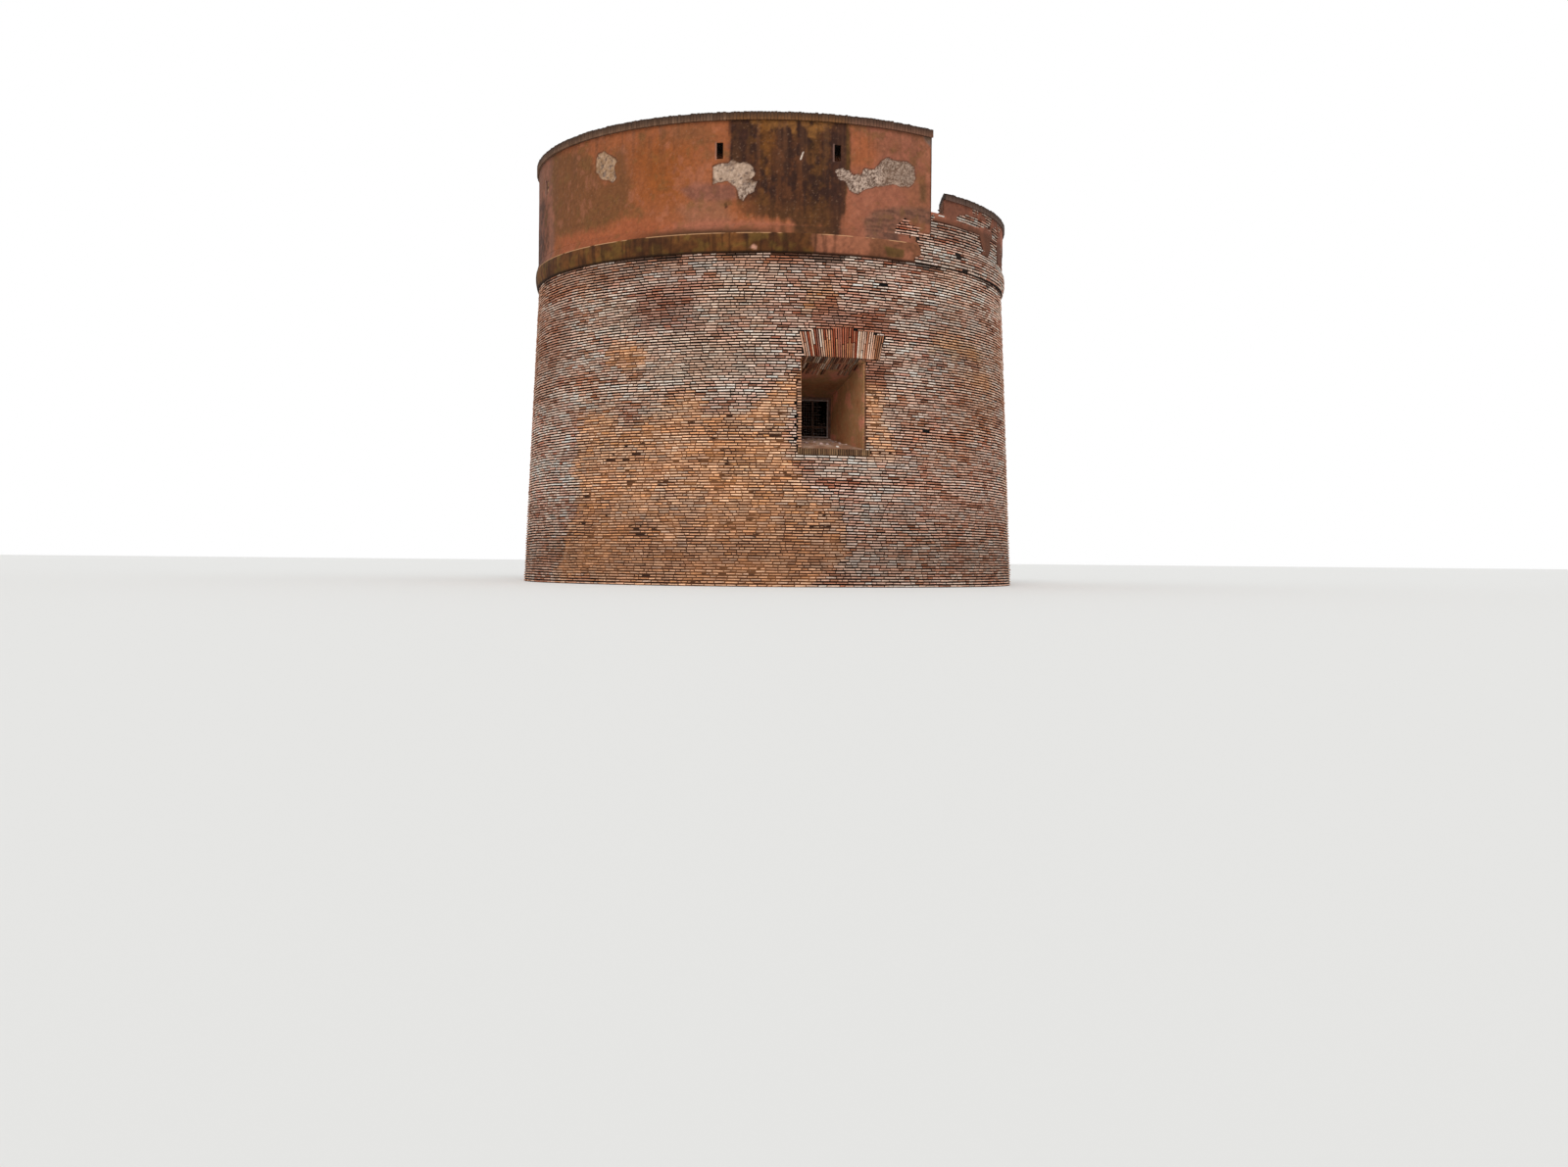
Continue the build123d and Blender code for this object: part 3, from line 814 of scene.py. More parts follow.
def archHole(turn):
    # outline of the arch: skewed ends and, over them, the width of the curved back
    def hole(z):
        up = z - embrasure["headOuter"]
        lean = embrasure["archSkew"] * up / embrasure["archEnd"]
        left, right = embrasure["archLeft"] - lean, embrasure["archRight"] + lean
        rise = embrasure["archCrown"] - embrasure["archEnd"]
        over = np.sqrt(np.clip((embrasure["archCrown"] - up) / rise, 0, 1))
        centre, half = (left + right) / 2, (right - left) / 2
        half = np.where(up > embrasure["archEnd"], half * over, half)
        inside = (up > 0) & (up < embrasure["archCrown"])
        turned = np.radians(turn)
        return hollow(inside, turned + np.arcsin((centre - half) / drumRadius(z)),
                      turned + np.arcsin((centre + half) / drumRadius(z)))
    return hole


def sillHole(turn):
    low = embrasure["sillOuter"] - embrasure["sillCourse"]
    return slotHole(turn, 2 * embrasure["sillReach"], low, embrasure["sillOuter"], drumRadius(low))


# Drum brickwork, one piece for each quarter
rng = np.random.default_rng(11)
drumBricks = courses(0.0, cordonLow, 0.0, 360.0, (baseRadius + neckRadius) / 2, rng)
for turn in (0.0, 180.0, 360.0):
    for hole in (openingHole(turn, 1), archHole(turn), sillHole(turn)):
        drumBricks = cut(drumBricks, hole)
quarterOf = np.floor(np.degrees(middlesOf(drumBricks)[0]) / 90).astype(int) % 4
for number, side in enumerate(("front_right", "back_right", "back_left", "front_left")):
    brickwork("drum_bricks_" + side, drumBricks[quarterOf == number], drumFace, baseRadius, rng, smeared=True)
for place, (start, end) in smear["spans"].items():
    smearSheet("smeared_mortar_" + place, start, end)


# Arches: fanned bricks on edge, each of two lengths with a staggered joint
def fan(turn, rng):
    count = embrasure["archBricks"]
    edges = np.linspace(0, 1, count + 1)
    gap = embrasure["archJoint"] / (embrasure["archRight"] - embrasure["archLeft"])
    split = rng.uniform(*embrasure["archSplit"], count)
    left, right = edges[:-1] + gap / 2, edges[1:] - gap / 2

    def across(share, up):
        # x of a fan line at a share of the arch and a height over the head
        foot = embrasure["archLeft"] + share * (embrasure["archRight"] - embrasure["archLeft"])
        return foot + (2 * share - 1) * embrasure["archSkew"] * up / embrasure["archEnd"]

    back = archBack(across((left + right) / 2, embrasure["archEnd"]))
    # the brick tops end near the next course's bed
    pitch = cordonLow / round(cordonLow / tower["coursePitch"])
    course = np.round((embrasure["headOuter"] + back) / pitch) * pitch - embrasure["headOuter"]
    back = np.clip(course, back - 0.02, back + 0.035) - 0.004
    joint = 0.005
    whole = rng.uniform(size=count) < embrasure["archWhole"]

    def fanned(left, right, low, high):
        return quads(*[(across(side, level), level) for side, level in
                       ((left, low), (right, low), (right, high), (left, high))])

    lower = fanned(left, right, 0 * back + 0.004, np.where(whole, back, split * back - joint))
    upper = fanned(left, right, split * back + joint, back)[~whole]
    flat = np.concatenate([lower, upper])
    z = embrasure["headOuter"] + flat[..., 1]
    azimuth = np.radians(turn) + np.arcsin(flat[..., 0] / drumRadius(z))
    return np.stack([azimuth, z], -1)


archColours = linears((232, 188, 158), (208, 140, 108), (250, 228, 206), (150, 70, 46))
sillColours = linears((122, 94, 68), (100, 74, 54), (136, 106, 78))
# redder bricks and smeared mortar on the front arch
archFilms = [
    ([(-4.8, 4.60), (-3.0, 4.60), (-3.0, 4.22), (-4.5, 4.22)], 0.02, (132, 62, 42), 0.85),
    ([(0.3, 4.60), (3.5, 4.60), (3.5, 4.33), (0.3, 4.33)], 0.02, (168, 86, 60), 0.8),
    ([(-1.8, 4.31), (3.9, 4.31), (3.9, 4.09), (-1.8, 4.09)], 0.03, (196, 132, 90), 0.8),
    ([(9.0, 4.50), (11.6, 4.50), (11.6, 4.12), (8.9, 4.12)], 0.03, (150, 98, 66), 0.85),
    ([(6.2, 4.54), (9.2, 4.54), (9.2, 4.12), (6.2, 4.12)], 0.02, (196, 126, 92), 0.5),
    ([(-8.9, 4.85), (-6.8, 4.86), (-6.7, 4.70), (-8.8, 4.70)], 0.02, (170, 92, 64), 0.9),
]


def onEdgeColour(points, rng, shares):
    # bricks on edge draw from the arch's colours; a redder stretch comes from noise
    chosen = archColours[rng.choice(4, len(points), p=shares)] * rng.uniform(0.85, 1.1, (len(points), 1))
    return layered(chosen, ((158, 76, 48), smooth(fractal(points, 0.3, 3, 131), 0.55, 0.65) * 0.4))


def slopePoint(turn, x, distance, level, out):
    # a point in the embrasure: x across, distance from the axis, and a level raised by out; the
    # turn takes it to the front or the back
    return turnedPoints(np.stack([x + 0 * level, -distance + 0 * level, level + out], -1), turn)


def soffitLevel(distance):
    return onSlope(distance, embrasure["headInner"], embrasure["headOuter"])


def sillLevel(distance):
    return onSlope(distance, embrasure["sillInner"], embrasure["sillOuter"])


def halfWidth(distance):
    return onSlope(distance, embrasure["throat"], embrasure["mouth"])


# Bare bricks of the soffit's outer part, the sill's dust and its fallen rubble
soffit = {"rows": (4.90, 4.68, 4.46, 4.26), "pitch": 0.040, "joint": 0.013, "proud": 0.012,
          "shares": (0.3, 0.3, 0.1, 0.3), "missing": 0.05, "inmost": 4.4, "missingInmost": 0.5}
sill = {"rows": 50, "columns": 40, "dust": 0.018, "stones": 110, "lump": (0.14, 4.66, 0.028)}


def soffitBricks(turn, rng):
    corners = []
    for outer, inner in zip(soffit["rows"], soffit["rows"][1:]):
        half = halfWidth(inner) - 0.01
        x = np.arange(-half, half - soffit["pitch"], soffit["pitch"])
        x1 = x + soffit["pitch"] - soffit["joint"]
        near = inner + 0.006 + rng.uniform(0, 0.03, len(x))
        far = outer - 0.006 + 0 * x
        corners.append(quads((x, far), (x1, far), (x1, near), (x, near)))
    corners = np.concatenate(corners)
    missing = np.where(corners[:, 2, 1] < soffit["inmost"], soffit["missingInmost"], soffit["missing"])
    corners = corners[rng.uniform(size=len(corners)) > missing]

    def surface(x, distance, out):
        return slopePoint(turn, x, distance, soffitLevel(distance), -out)

    colour = onEdgeColour(surface(corners[:, 0, 0], corners[:, 0, 1], 0.0), rng, soffit["shares"])
    # greyed and darkened to about half: painted shade on the soffit, whose bricks also differ in tone at
    # random
    colour = 0.24 * (colour + linear(120, 92, 74)) * rng.uniform(0.3, 1.8, (len(colour), 1))
    return corners, surface, colour


def sillSheet(name, turn):
    # dust on the sill: a grid over its slope with relief from noise, thinner towards the face
    distance = np.linspace(embrasure["throatFar"] + 0.005, mouthFar - 0.03, sill["rows"])
    far, share = np.meshgrid(distance, np.linspace(-1, 1, sill["columns"]), indexing="ij")
    x = share * (halfWidth(far) - 0.004)
    flat = np.stack([x, far, 0 * x], -1)
    relief = fractal(flat, 0.22, 4, 141)
    edge = smooth(np.abs(share), 1.0, 0.96) * smooth(far, mouthFar - 0.03, mouthFar - 0.08)
    lift = 0.003 + sill["dust"] * edge * (relief + 0.8 * smooth(far, 4.4, 3.5))
    points = slopePoint(turn, x, far, sillLevel(far), lift)
    colour = layered(linear(140, 102, 80), ((166, 138, 118), smooth(relief, 0.35, 0.65)),
                     ((104, 78, 64), smooth(fractal(flat, 0.12, 3, 143), 0.55, 0.7) * 0.7))
    faces = gridFaces(sill["rows"], sill["columns"])[:, ::-1]
    meshPiece(name, points, faces, colour, True, coatMaterial)


def stones(turn, rng):
    # rough stones on the sill, each a block with its corners moved, most of them by the window
    count = sill["stones"]
    size = rng.uniform(0.01, 0.032, count)
    far = embrasure["throatFar"] + 0.04 + 0.9 * rng.uniform(0, 1, count) ** 2.2
    x = rng.uniform(-0.9, 0.9, count) * halfWidth(far)
    x[0], far[0], size[0] = sill["lump"]
    box = np.array([[-1, -1], [1, -1], [1, 1], [-1, 1]])
    spread = size[:, None, None]
    flat = np.stack([x, -far], 1)[:, None, :] + box[None] * spread * rng.uniform(0.6, 1.2, (count, 4, 2))
    rings = np.stack([flat, flat, flat * 0.5 + flat.mean(1, keepdims=True) * 0.5], 1)
    up = np.array([0.0, 0.7, 1.25])[None, :, None] * spread * rng.uniform(0.7, 1.2, (count, 3, 4))
    level = sillLevel(-rings[..., 1]) + up
    points, faces = blockMesh(turnedPoints(np.concatenate([rings, level[..., None]], -1), turn))
    colour = linear(186, 158, 150) * rng.uniform(0.3, 1.1, (count, 1))
    colour[0] = linear(236, 226, 214)
    return points, faces, np.repeat(colour, blockPoints, 0)


def turnedPoints(points, turn):
    # points turned about the tower's axis by an angle in degrees
    a = np.radians(turn)
    spin = np.array([[np.cos(a), -np.sin(a), 0], [np.sin(a), np.cos(a), 0], [0, 0, 1]])
    return points @ spin.T


def archBricks(side, turn, rng):
    corners = fan(turn, rng)
    azimuth, z = corners[..., 0].mean(1), corners[..., 1].mean(1)
    centres = drumFace(azimuth, z, 0.0)
    lift = rng.uniform(0.016, 0.026, len(corners))
    colour = onEdgeColour(centres, rng, embrasure["archShares"])
    colour = filmed(colour, azimuth, z, centres, archFilms, 0.1)
    blockPiece("arch_bricks_" + side, corners, lift, drumFace, baseRadius, rng, colour, "arch_brick",
               brickMaterial)


def sillBricks(side, turn, rng):
    x = np.linspace(-embrasure["sillReach"], embrasure["sillReach"], embrasure["sillBricks"] + 1)
    low = embrasure["sillOuter"] - embrasure["sillCourse"] + 0.006
    high = embrasure["sillOuter"] - 0.002
    azimuth = np.radians(turn) + np.arcsin(x / drumRadius(low))
    gap = 0.005 / baseRadius
    strip = np.stack([azimuth[:-1] + gap, azimuth[1:] - gap, 0 * x[1:] + low, 0 * x[1:] + high], 1)
    colour = sillColours[rng.choice(len(sillColours), len(strip))] * rng.uniform(0.85, 1.1, (len(strip), 1))
    lift = rng.uniform(0.028, 0.034, len(strip))
    blockPiece("sill_bricks_" + side, cornersOf(strip), lift, drumFace, baseRadius, rng, colour, "sill_brick",
               brickMaterial)


def quoins(side, turn, rng):
    # a column of short bricks down the left jamb
    z = np.arange(embrasure["sillOuter"] + 0.003, embrasure["quoinTop"] - 0.03, tower["coursePitch"])
    edge = np.radians(turn) - np.arcsin(embrasure["mouth"] / drumRadius(z))
    reach = embrasure["quoinWidth"] - 0.004 - rng.uniform(-0.006, 0.035, len(z))
    strip = np.stack([edge - reach / baseRadius, edge, z + 0.009, z + tower["coursePitch"] - 0.012], 1)
    colour = linear(*embrasure["quoinColour"]) * rng.uniform(0.35, 1.25, (len(z), 1))
    lift = rng.uniform(0.018, 0.026, len(strip))
    blockPiece("quoins_" + side, cornersOf(strip), lift, drumFace, baseRadius, rng, colour, "wall_brick",
               brickMaterial)


def soffitAndSill(side, turn, rng):
    corners, surface, colour = soffitBricks(turn, rng)
    lift = soffit["proud"] + rng.uniform(-0.006, 0.008, len(corners))
    blockPiece("soffit_bricks_" + side, corners, lift, surface, 1.0, rng, colour, "arch_brick", brickMaterial)
    sillSheet("sill_dust_" + side, turn)
    points, faces, colour = stones(turn, rng)
    meshPiece("sill_stones_" + side, points, faces, colour, False, brickMaterial)


for side, turn in embrasure["turns"].items():
    for part in (archBricks, sillBricks, quoins, soffitAndSill):
        part(side, turn, rng)


# Render coat on the high wall
coat = {
    "lift": 0.018, "step": 0.0165, "backStep": 0.025, "split": -66.0,
    "stain": [(-22.8, 8.42), (-22.8, 7.63), (-20.9, 6.9), (-20.9, 6.61), (-19.7, 6.51), (-16.8, 6.51),
              (-13.5, 6.46), (-9.6, 6.40), (-5.5, 6.35), (-2.0, 6.30), (1.0, 6.30), (2.7, 6.46), (2.6, 7.07),
              (3.2, 7.49), (3.3, 8.42)],
    "brush": [(6.5, 6.61), (9.0, 6.78), (14.1, 6.92), (18.9, 6.97), (24.2, 6.97), (24.2, 6.70), (20.0, 6.72),
              (15.9, 6.69), (14.9, 6.39), (12.5, 6.31), (7.1, 6.34)],
    "scratch": [(-7.7, 7.60), (-7.45, 7.59), (-6.9, 7.73), (-7.1, 7.74)],
}
# Patches where the render has fallen: outline of azimuths and heights, and how coarse the
# rubble behind it is
fallen = {
    "left": ([(-55.8, 7.98), (-53.8, 7.98), (-51.3, 7.89), (-50.0, 7.76), (-50.8, 7.65), (-50.0, 7.46),
              (-51.2, 7.38), (-52.9, 7.45), (-55.1, 7.53), (-56.5, 7.67), (-56.3, 7.87)], 0.3),
    "middle": ([(-26.2, 7.47), (-24.5, 7.51), (-23.0, 7.51), (-21.9, 7.58), (-21.0, 7.55), (-19.2, 7.53),
                (-17.5, 7.43), (-17.2, 7.33), (-18.2, 7.24), (-17.0, 7.18), (-17.2, 7.10), (-20.8, 7.08),
                (-21.8, 7.14), (-23.0, 7.21), (-26.3, 7.16)], 0.4),
    "middle tip": ([(-21.0, 7.14), (-16.7, 7.19), (-17.4, 7.04), (-18.6, 6.97), (-19.7, 6.86),
                    (-20.6, 6.9)], 0.85),
    "right": ([(-0.1, 7.45), (1.3, 7.49), (3.2, 7.46), (4.1, 7.4), (5.7, 7.41), (6.6, 7.49), (8.9, 7.54),
               (10.6, 7.67), (12.2, 7.77), (14.0, 7.76), (17.6, 7.75), (19.1, 7.67), (19.7, 7.48),
               (18.8, 7.37), (17.3, 7.28), (15.1, 7.3), (13.4, 7.31), (10.6, 7.25), (8.3, 7.21), (6.7, 7.15),
               (5.1, 7.05), (3.5, 7.1), (2.3, 7.26), (0.7, 7.3)], 1.0),
    "beside slot": ([(-80.2, 7.77), (-79.3, 7.86), (-78.9, 7.72), (-79.6, 7.64)], 0.0),
    "back one": ([(-104, 7.5), (-99, 7.62), (-96.5, 7.4), (-98, 7.2), (-101, 7.26), (-104, 7.18)], 0.6),
    "back two": ([(-128, 7.9), (-123, 7.95), (-120, 7.7), (-122, 7.45), (-126, 7.3), (-129.5, 7.45)], 0.3),
}
# Where the high wall's render is lost down to the bricks
bare = [[(15.4, 6.34), (14.7, 6.46), (15.6, 6.62), (17.0, 6.68), (18.1, 6.64), (20.1, 6.59), (20.9, 6.52),
         (22.9, 6.5), (24.4, 6.54), (27, 6.56), (27, 6.2), (15, 6.2)],
        [(-157, 6.2), (-157, 6.95), (-153, 6.9), (-150.5, 6.6), (-145, 6.5), (-144, 6.2)]]
# Areas of colour on the render: outline, softness of its edge, screen colour, strength
areas = [
    ([(-95, 8.5), (-74, 8.5), (-73, 6.92), (-75, 6.3), (-95, 6.3)], 0.10, (124, 84, 68), 0.9),
    ([(-90, 7.62), (-81, 7.55), (-79, 6.9), (-80.5, 6.3), (-104, 6.3), (-101, 6.6), (-96, 6.8),
      (-94.5, 7.4)], 0.14,
     (74, 50, 42), 0.9),
    ([(-76.2, 8.32), (-67.3, 8.2), (-61.5, 8.08), (-56.9, 7.81), (-53.3, 7.43), (-51.0, 7.43), (-51.7, 8.06),
      (-48.1, 7.99), (-45.7, 7.29), (-46.4, 6.95), (-49.1, 6.7), (-52.3, 6.61), (-61.8, 6.62),
      (-75.0, 6.66)], 0.14,
     (114, 74, 46), 0.9),
    ([(-44.3, 7.8), (-38.4, 7.9), (-31.9, 7.8), (-29.5, 7.3), (-33, 7.0), (-38.3, 6.95), (-43.5, 7.1)], 0.3,
     (140, 78, 36), 0.75),
    ([(-36, 8.3), (-27, 8.22), (-27, 7.95), (-36, 8.02)], 0.15, (120, 78, 50), 0.6),
    ([(-33.4, 7.09), (-30.3, 7.22), (-26.3, 7.16), (-21.5, 7.17), (-20.9, 6.9), (-24.2, 6.86),
      (-30.2, 6.88)], 0.07,
     (122, 80, 68), 0.75),
    ([(-34, 6.75), (-28.7, 6.87), (-24.2, 6.81), (-21.5, 6.54), (-22.6, 6.37), (-31.7, 6.4)], 0.12,
     (144, 96, 72), 0.7),
    ([(-71.8, 6.58), (-61.7, 6.57), (-51.5, 6.57), (-46.8, 6.7), (-34.9, 6.52), (-34.9, 6.3), (-54.9, 6.3),
      (-68.9, 6.34)], 0.10, (158, 88, 58), 0.8),
    ([(-35, 6.5), (-22, 6.52), (-16, 6.52), (-9, 6.45), (-4.5, 6.34), (-4.5, 6.28), (-35, 6.28)], 0.08,
     (162, 98, 76), 0.75),
    ([(-82, 7.5), (-78.5, 7.45), (-77.6, 6.7), (-79, 6.45), (-83, 6.5)], 0.05, (92, 60, 44), 0.75),
    ([(3.4, 8.2), (8, 8.15), (9.5, 7.8), (8, 7.56), (3.4, 7.52)], 0.18, (160, 90, 54), 0.7),
    ([(8, 8.4), (24, 8.4), (24, 8.2), (17, 8.22), (10, 8.3)], 0.1, (118, 80, 56), 0.5),
    ([(16, 7.3), (21, 7.7), (22, 8.1), (24.3, 8.1), (24.3, 6.6), (17, 6.9)], 0.2, (140, 88, 62), 0.6),
    ([(20.7, 7.42), (22.7, 7.42), (22.8, 7.07), (20.8, 7.07)], 0.06, (96, 70, 44), 0.75),
    ([(21.3, 8.36), (24.3, 8.4), (24.3, 8.12), (22.5, 8.2)], 0.04, (112, 96, 88), 0.8),
    (coat["brush"], 0.07, (114, 80, 64), 0.8),
    ([(-23.7, 6.81), (-23.2, 6.83), (-23.0, 6.75), (-23.5, 6.72)], 0.015, (60, 32, 26), 0.9),
    ([(-120, 8.5), (-96, 8.5), (-97, 7.2), (-104, 6.9), (-118, 7.1)], 0.2, (112, 78, 54), 0.9),
    ([(-156, 8.5), (-132, 8.5), (-134, 7.5), (-146, 7.0), (-156, 7.2)], 0.25, (128, 84, 56), 0.8),
]


def baseCoat(azimuth, degrees, z, p, mottle, blotch, grainy):
    # mottled render with the areas of colour over it, the marks of a brush, and finer mottling
    warp = 0.5 * (fractal(p, 0.5, 4, 45) - 0.5)
    base = mixed(linear(148, 86, 54), linear(144, 88, 68), smooth(degrees + 12 * (mottle - 0.5), -4, 6))
    base = layered(base, ((118, 76, 48), smooth(mottle, 0.54, 0.7) * 0.45),
                   ((170, 106, 76), smooth(mottle, 0.46, 0.3) * 0.25),
                   ((112, 76, 50), smooth(blotch, 0.54, 0.7) * 0.4),
                   ((170, 108, 82), smooth(blotch, 0.42, 0.3) * 0.2))
    for outline, edge, colour, strength in areas:
        distance = outlineDistance(azimuth, z, outline) + warp * min(1.0, edge * 4)
        base = layered(base, (colour, smooth(distance, edge, -edge) * strength))
    brushed = smooth(outlineDistance(azimuth, z, coat["brush"]) + 0.3 * warp, 0.03, -0.05)
    marks = streaked(degrees, z, 5, 1 / 14, 0.6, 3, 57)
    return layered(base, ((78, 54, 46), brushed * smooth(marks, 0.4, 0.7) * 0.6),
                   ((116, 84, 48), smooth(0.5 * grainy + 0.5 * blotch, 0.54, 0.66) * 0.35),
                   ((172, 108, 84), smooth(0.5 * grainy + 0.5 * mottle, 0.46, 0.36) * 0.3))


def stainShare(azimuth, degrees, z, grainy):
    # how far the stain under the cope hides the render, ragged by streaks and softer at its foot
    foot = smooth(z, 6.8, 6.5)
    inside = outlineDistance(azimuth, z, coat["stain"]) + 0.08 * (grainy - 0.5)
    inside = inside + 0.10 * (streaked(degrees, z, 2, 1.5, 0.5, 3, 47) - 0.5)
    inside = inside + foot * 0.3 * (streaked(degrees, z, 1.6, 1.5, 0.7, 3, 49) - 0.45)
    faded = smooth(degrees, -14, -21) * smooth(z, 7.05, 6.7)
    return smooth(inside, 0.03, -0.05 - 0.12 * foot) * (0.95 - 0.5 * faded)


def stainColour(degrees, z, p, blotch, grainy):
    # dark streaks, ochre at the top, a brown column in the middle and darker sides
    streak = streaked(degrees, z, 1.1, 0.9, 1.0, 4, 51)
    broad = streaked(degrees, z, 3.0, 1.8, 1.0, 4, 53)
    ragged = z + 0.5 * (blotch - 0.5) + 0.5 * (grainy - 0.5) + 0.35 * (streak - 0.5)
    ochre = smooth(ragged, 8.06, 8.24) * smooth(degrees, -20.5, -17) * smooth(degrees, 1.5, -1.5)
    column = smooth(np.abs(degrees + 14.6 + 5 * (blotch - 0.5)), 1.7, 0.3) * smooth(ragged, 7.3, 7.9)
    leftSide = smooth(np.abs(degrees + 20.6), 2.4, 0.8) * smooth(z, 7.1, 7.7)
    rightSide = smooth(np.abs(degrees - 1.0), 2.6, 1.0)
    dark = layered(linear(48, 32, 27), ((84, 52, 34), smooth(0.5 * streak + 0.5 * grainy, 0.42, 0.58)),
                   ((106, 72, 34), smooth(0.6 * broad + 0.4 * grainy, 0.5, 0.62) * 0.38),
                   ((134, 90, 48), ochre * 0.85), ((132, 82, 34), column * 0.5),
                   ((98, 64, 36), smooth(z + 0.4 * (grainy - 0.5), 6.95, 6.6) * 0.6),
                   ((58, 38, 32), np.maximum(leftSide, rightSide) * 0.6),
                   ((92, 66, 34), smooth(np.abs(degrees - 2.9), 0.8, 0.2) * 0.8))
    return grained(dark, p, 0.40, 0.92, 0.045, 3, 55)


def rubbleColour(degrees, p, grain, blotch):
    # pale lime with grit; the coarser it is, the more dark pits and white stones it has
    grit = fractal(p, 0.05, 3, 71)
    speckle = 0.25 * grit + 0.35 * fractal(p, 0.028, 2, 73) + 0.4 * fractal(p, 0.014, 1, 74)
    lime = layered(linear(124, 96, 76), ((190, 160, 136), smooth(fractal(p, 0.12, 4, 75), 0.36, 0.58)),
                   ((164, 122, 80), smooth(degrees, -45, -50) * 0.65),
                   ((56, 38, 32), smooth(grit, 0.58, 0.66) * 0.8))
    coarse = layered(linear(70, 48, 38), ((204, 178, 160), smooth(speckle, 0.32, 0.70)),
                     ((98, 70, 50), smooth(degrees + 6 * (blotch - 0.5), 9, 12) * 0.4))
    return mixed(lime, coarse, grain * 0.9)


def coatColour(azimuth, z, p, rough, grain):
    # the render with its stain, then a scratch, drips, a painted shadow under the cope, the foot,
    # pale specks, the wall's end, the loopholes' rims, and the fallen patches with a painted shadow round
    # them
    degrees = np.degrees(azimuth)
    mottle, blotch, grainy = fractal(p, 0.8, 5, 41), fractal(p, 0.22, 4, 43), fractal(p, 0.11, 4, 79)
    shown = mixed(baseCoat(azimuth, degrees, z, p, mottle, blotch, grainy),
                  stainColour(degrees, z, p, blotch, grainy), stainShare(azimuth, degrees, z, grainy))
    scratch = outlineDistance(azimuth, z, coat["scratch"])
    drips = smooth(streaked(degrees, z, 1.1, 3.5, 1.0, 3, 61), 0.56, 0.72)
    slotRim = np.full(z.shape, 1.0)
    for place in tower["loopholes"]:
        beside = (np.radians(place) - azimuth) * parapetRadius - tower["loopholeSize"][0] / 2
        tall = np.abs(z - tower["loopholeHeight"]) - tower["loopholeSize"][1] / 2
        slotRim = np.minimum(slotRim, np.maximum(np.abs(beside - 0.008) / 0.02, tall / 0.02))
    shown = layered(
        shown, ((244, 226, 208), smooth(scratch, 0.006, -0.006) * 0.9),
        ((104, 70, 50), drips * smooth(z, 7.0, 8.3) * 0.4),
        # painted shadow under the cope's overhang
        ((44, 30, 24), smooth(z, highTop - 0.028, highTop - 0.012) * 0.85),
        ((104, 78, 44), smooth(z + 0.06 * (blotch - 0.5), parapetLow + 0.02, parapetLow - 0.02) * 0.15),
        ((150, 116, 92), smooth(fractal(p, 0.022, 2, 63), 0.70, 0.84) * 0.3),
        ((66, 42, 34), smooth(degrees, tower["highEnd"] - 0.5, tower["highEnd"] - 0.2) * 0.7),
        ((160, 124, 112), smooth(slotRim, 1.0, 0.5) * 0.45))
    shown = mixed(shown, rubbleColour(degrees, p, grain, blotch), smooth(rough, 0.006, -0.006))
    # painted shadow along the broken edge of the render round the fallen patches
    shown = layered(shown, ((62, 38, 30), smooth(np.abs(rough - 0.010), 0.012, 0.004) * 0.6))
    return grained(shown, p, 0.70, 0.6, 0.045, 3, 77)


def coatLift(p):
    # how far the high wall's render stands out: waves of two sizes
    return coat["lift"] + 0.008 * (fractal(p, 0.7, 3, 83) - 0.5) + 0.003 * (fractal(p, 0.07, 2, 85) - 0.5)


def coatSheet(name, start, end, step, slots):
    # a grid of azimuth and height laid on the wall, its lift from the relief, without the cells
    # of the loopholes; in a fallen patch it drops to rough rubble, and where bricks are bare it
    # goes behind them
    width, height = tower["loopholeSize"]
    low, high = tower["loopholeHeight"] - height / 2, tower["loopholeHeight"] + height / 2
    half = width / 2 / parapetRadius
    edges = [np.radians(azimuth) + sign * half for azimuth in slots for sign in (-1, 1)]
    a = gridLines(np.radians(start), np.radians(end), step / parapetRadius, edges)
    z = gridLines(parapetLow - 0.004, highTop + 0.002, step, [low, high])
    azimuth, level = np.meshgrid(a, z, indexing="ij")
    p = parapetFace(azimuth, level, 0.0)
    warp = 0.09 * (fractal(p, 0.14, 4, 81) - 0.5)
    rough, grain = np.full(azimuth.shape, 1e9), np.zeros(azimuth.shape)
    for outline, coarseness in fallen.values():
        distance = outlineDistance(azimuth, level, outline) + warp
        grain = np.where(distance < rough, coarseness, grain)
        rough = np.minimum(rough, distance)
    toBare = nearest(azimuth, level, bare) + 2.2 * warp
    lift = coatLift(p)
    rubble = 0.003 + (0.004 + 0.008 * grain) * fractal(p, 0.045, 3, 87)
    lift = lift + (rubble - lift) * smooth(rough, 0.008, -0.004)
    lift = sunk(lift, smooth(toBare, 0.008, -0.004))
    colour = coatColour(azimuth, level, p, rough, grain)
    keep = outside(azimuth, level, [slotHole(place, width, low, high, parapetRadius) for place in slots])
    sheetPiece(name, parapetFace(azimuth, level, lift), colour, keep, coatMaterial)


highStart = tower["highEnd"] - tower["highSpan"]
coatSheet("render_coat_front", coat["split"], tower["highEnd"], coat["step"],
          [a for a in tower["loopholes"] if a > coat["split"]])
coatSheet("render_coat_back", highStart, coat["split"], coat["backStep"],
          [a for a in tower["loopholes"] if a < coat["split"]])

# Bricks where the high wall's render is lost
rng = np.random.default_rng(23)
lost = courses(parapetLow, parapetLow + 0.6, highStart, tower["highEnd"], parapetRadius, rng)
lostPlaces = middlePoints(lost, parapetFace)
lostEdge = nearest(*middlesOf(lost), bare)
lost = lost[lostEdge + 0.2 * (fractal(lostPlaces, 0.14, 4, 81) - 0.5) < 0.06]
brickwork("bare_bricks_high_wall", lost, parapetFace, parapetRadius, rng, lift=0.015)


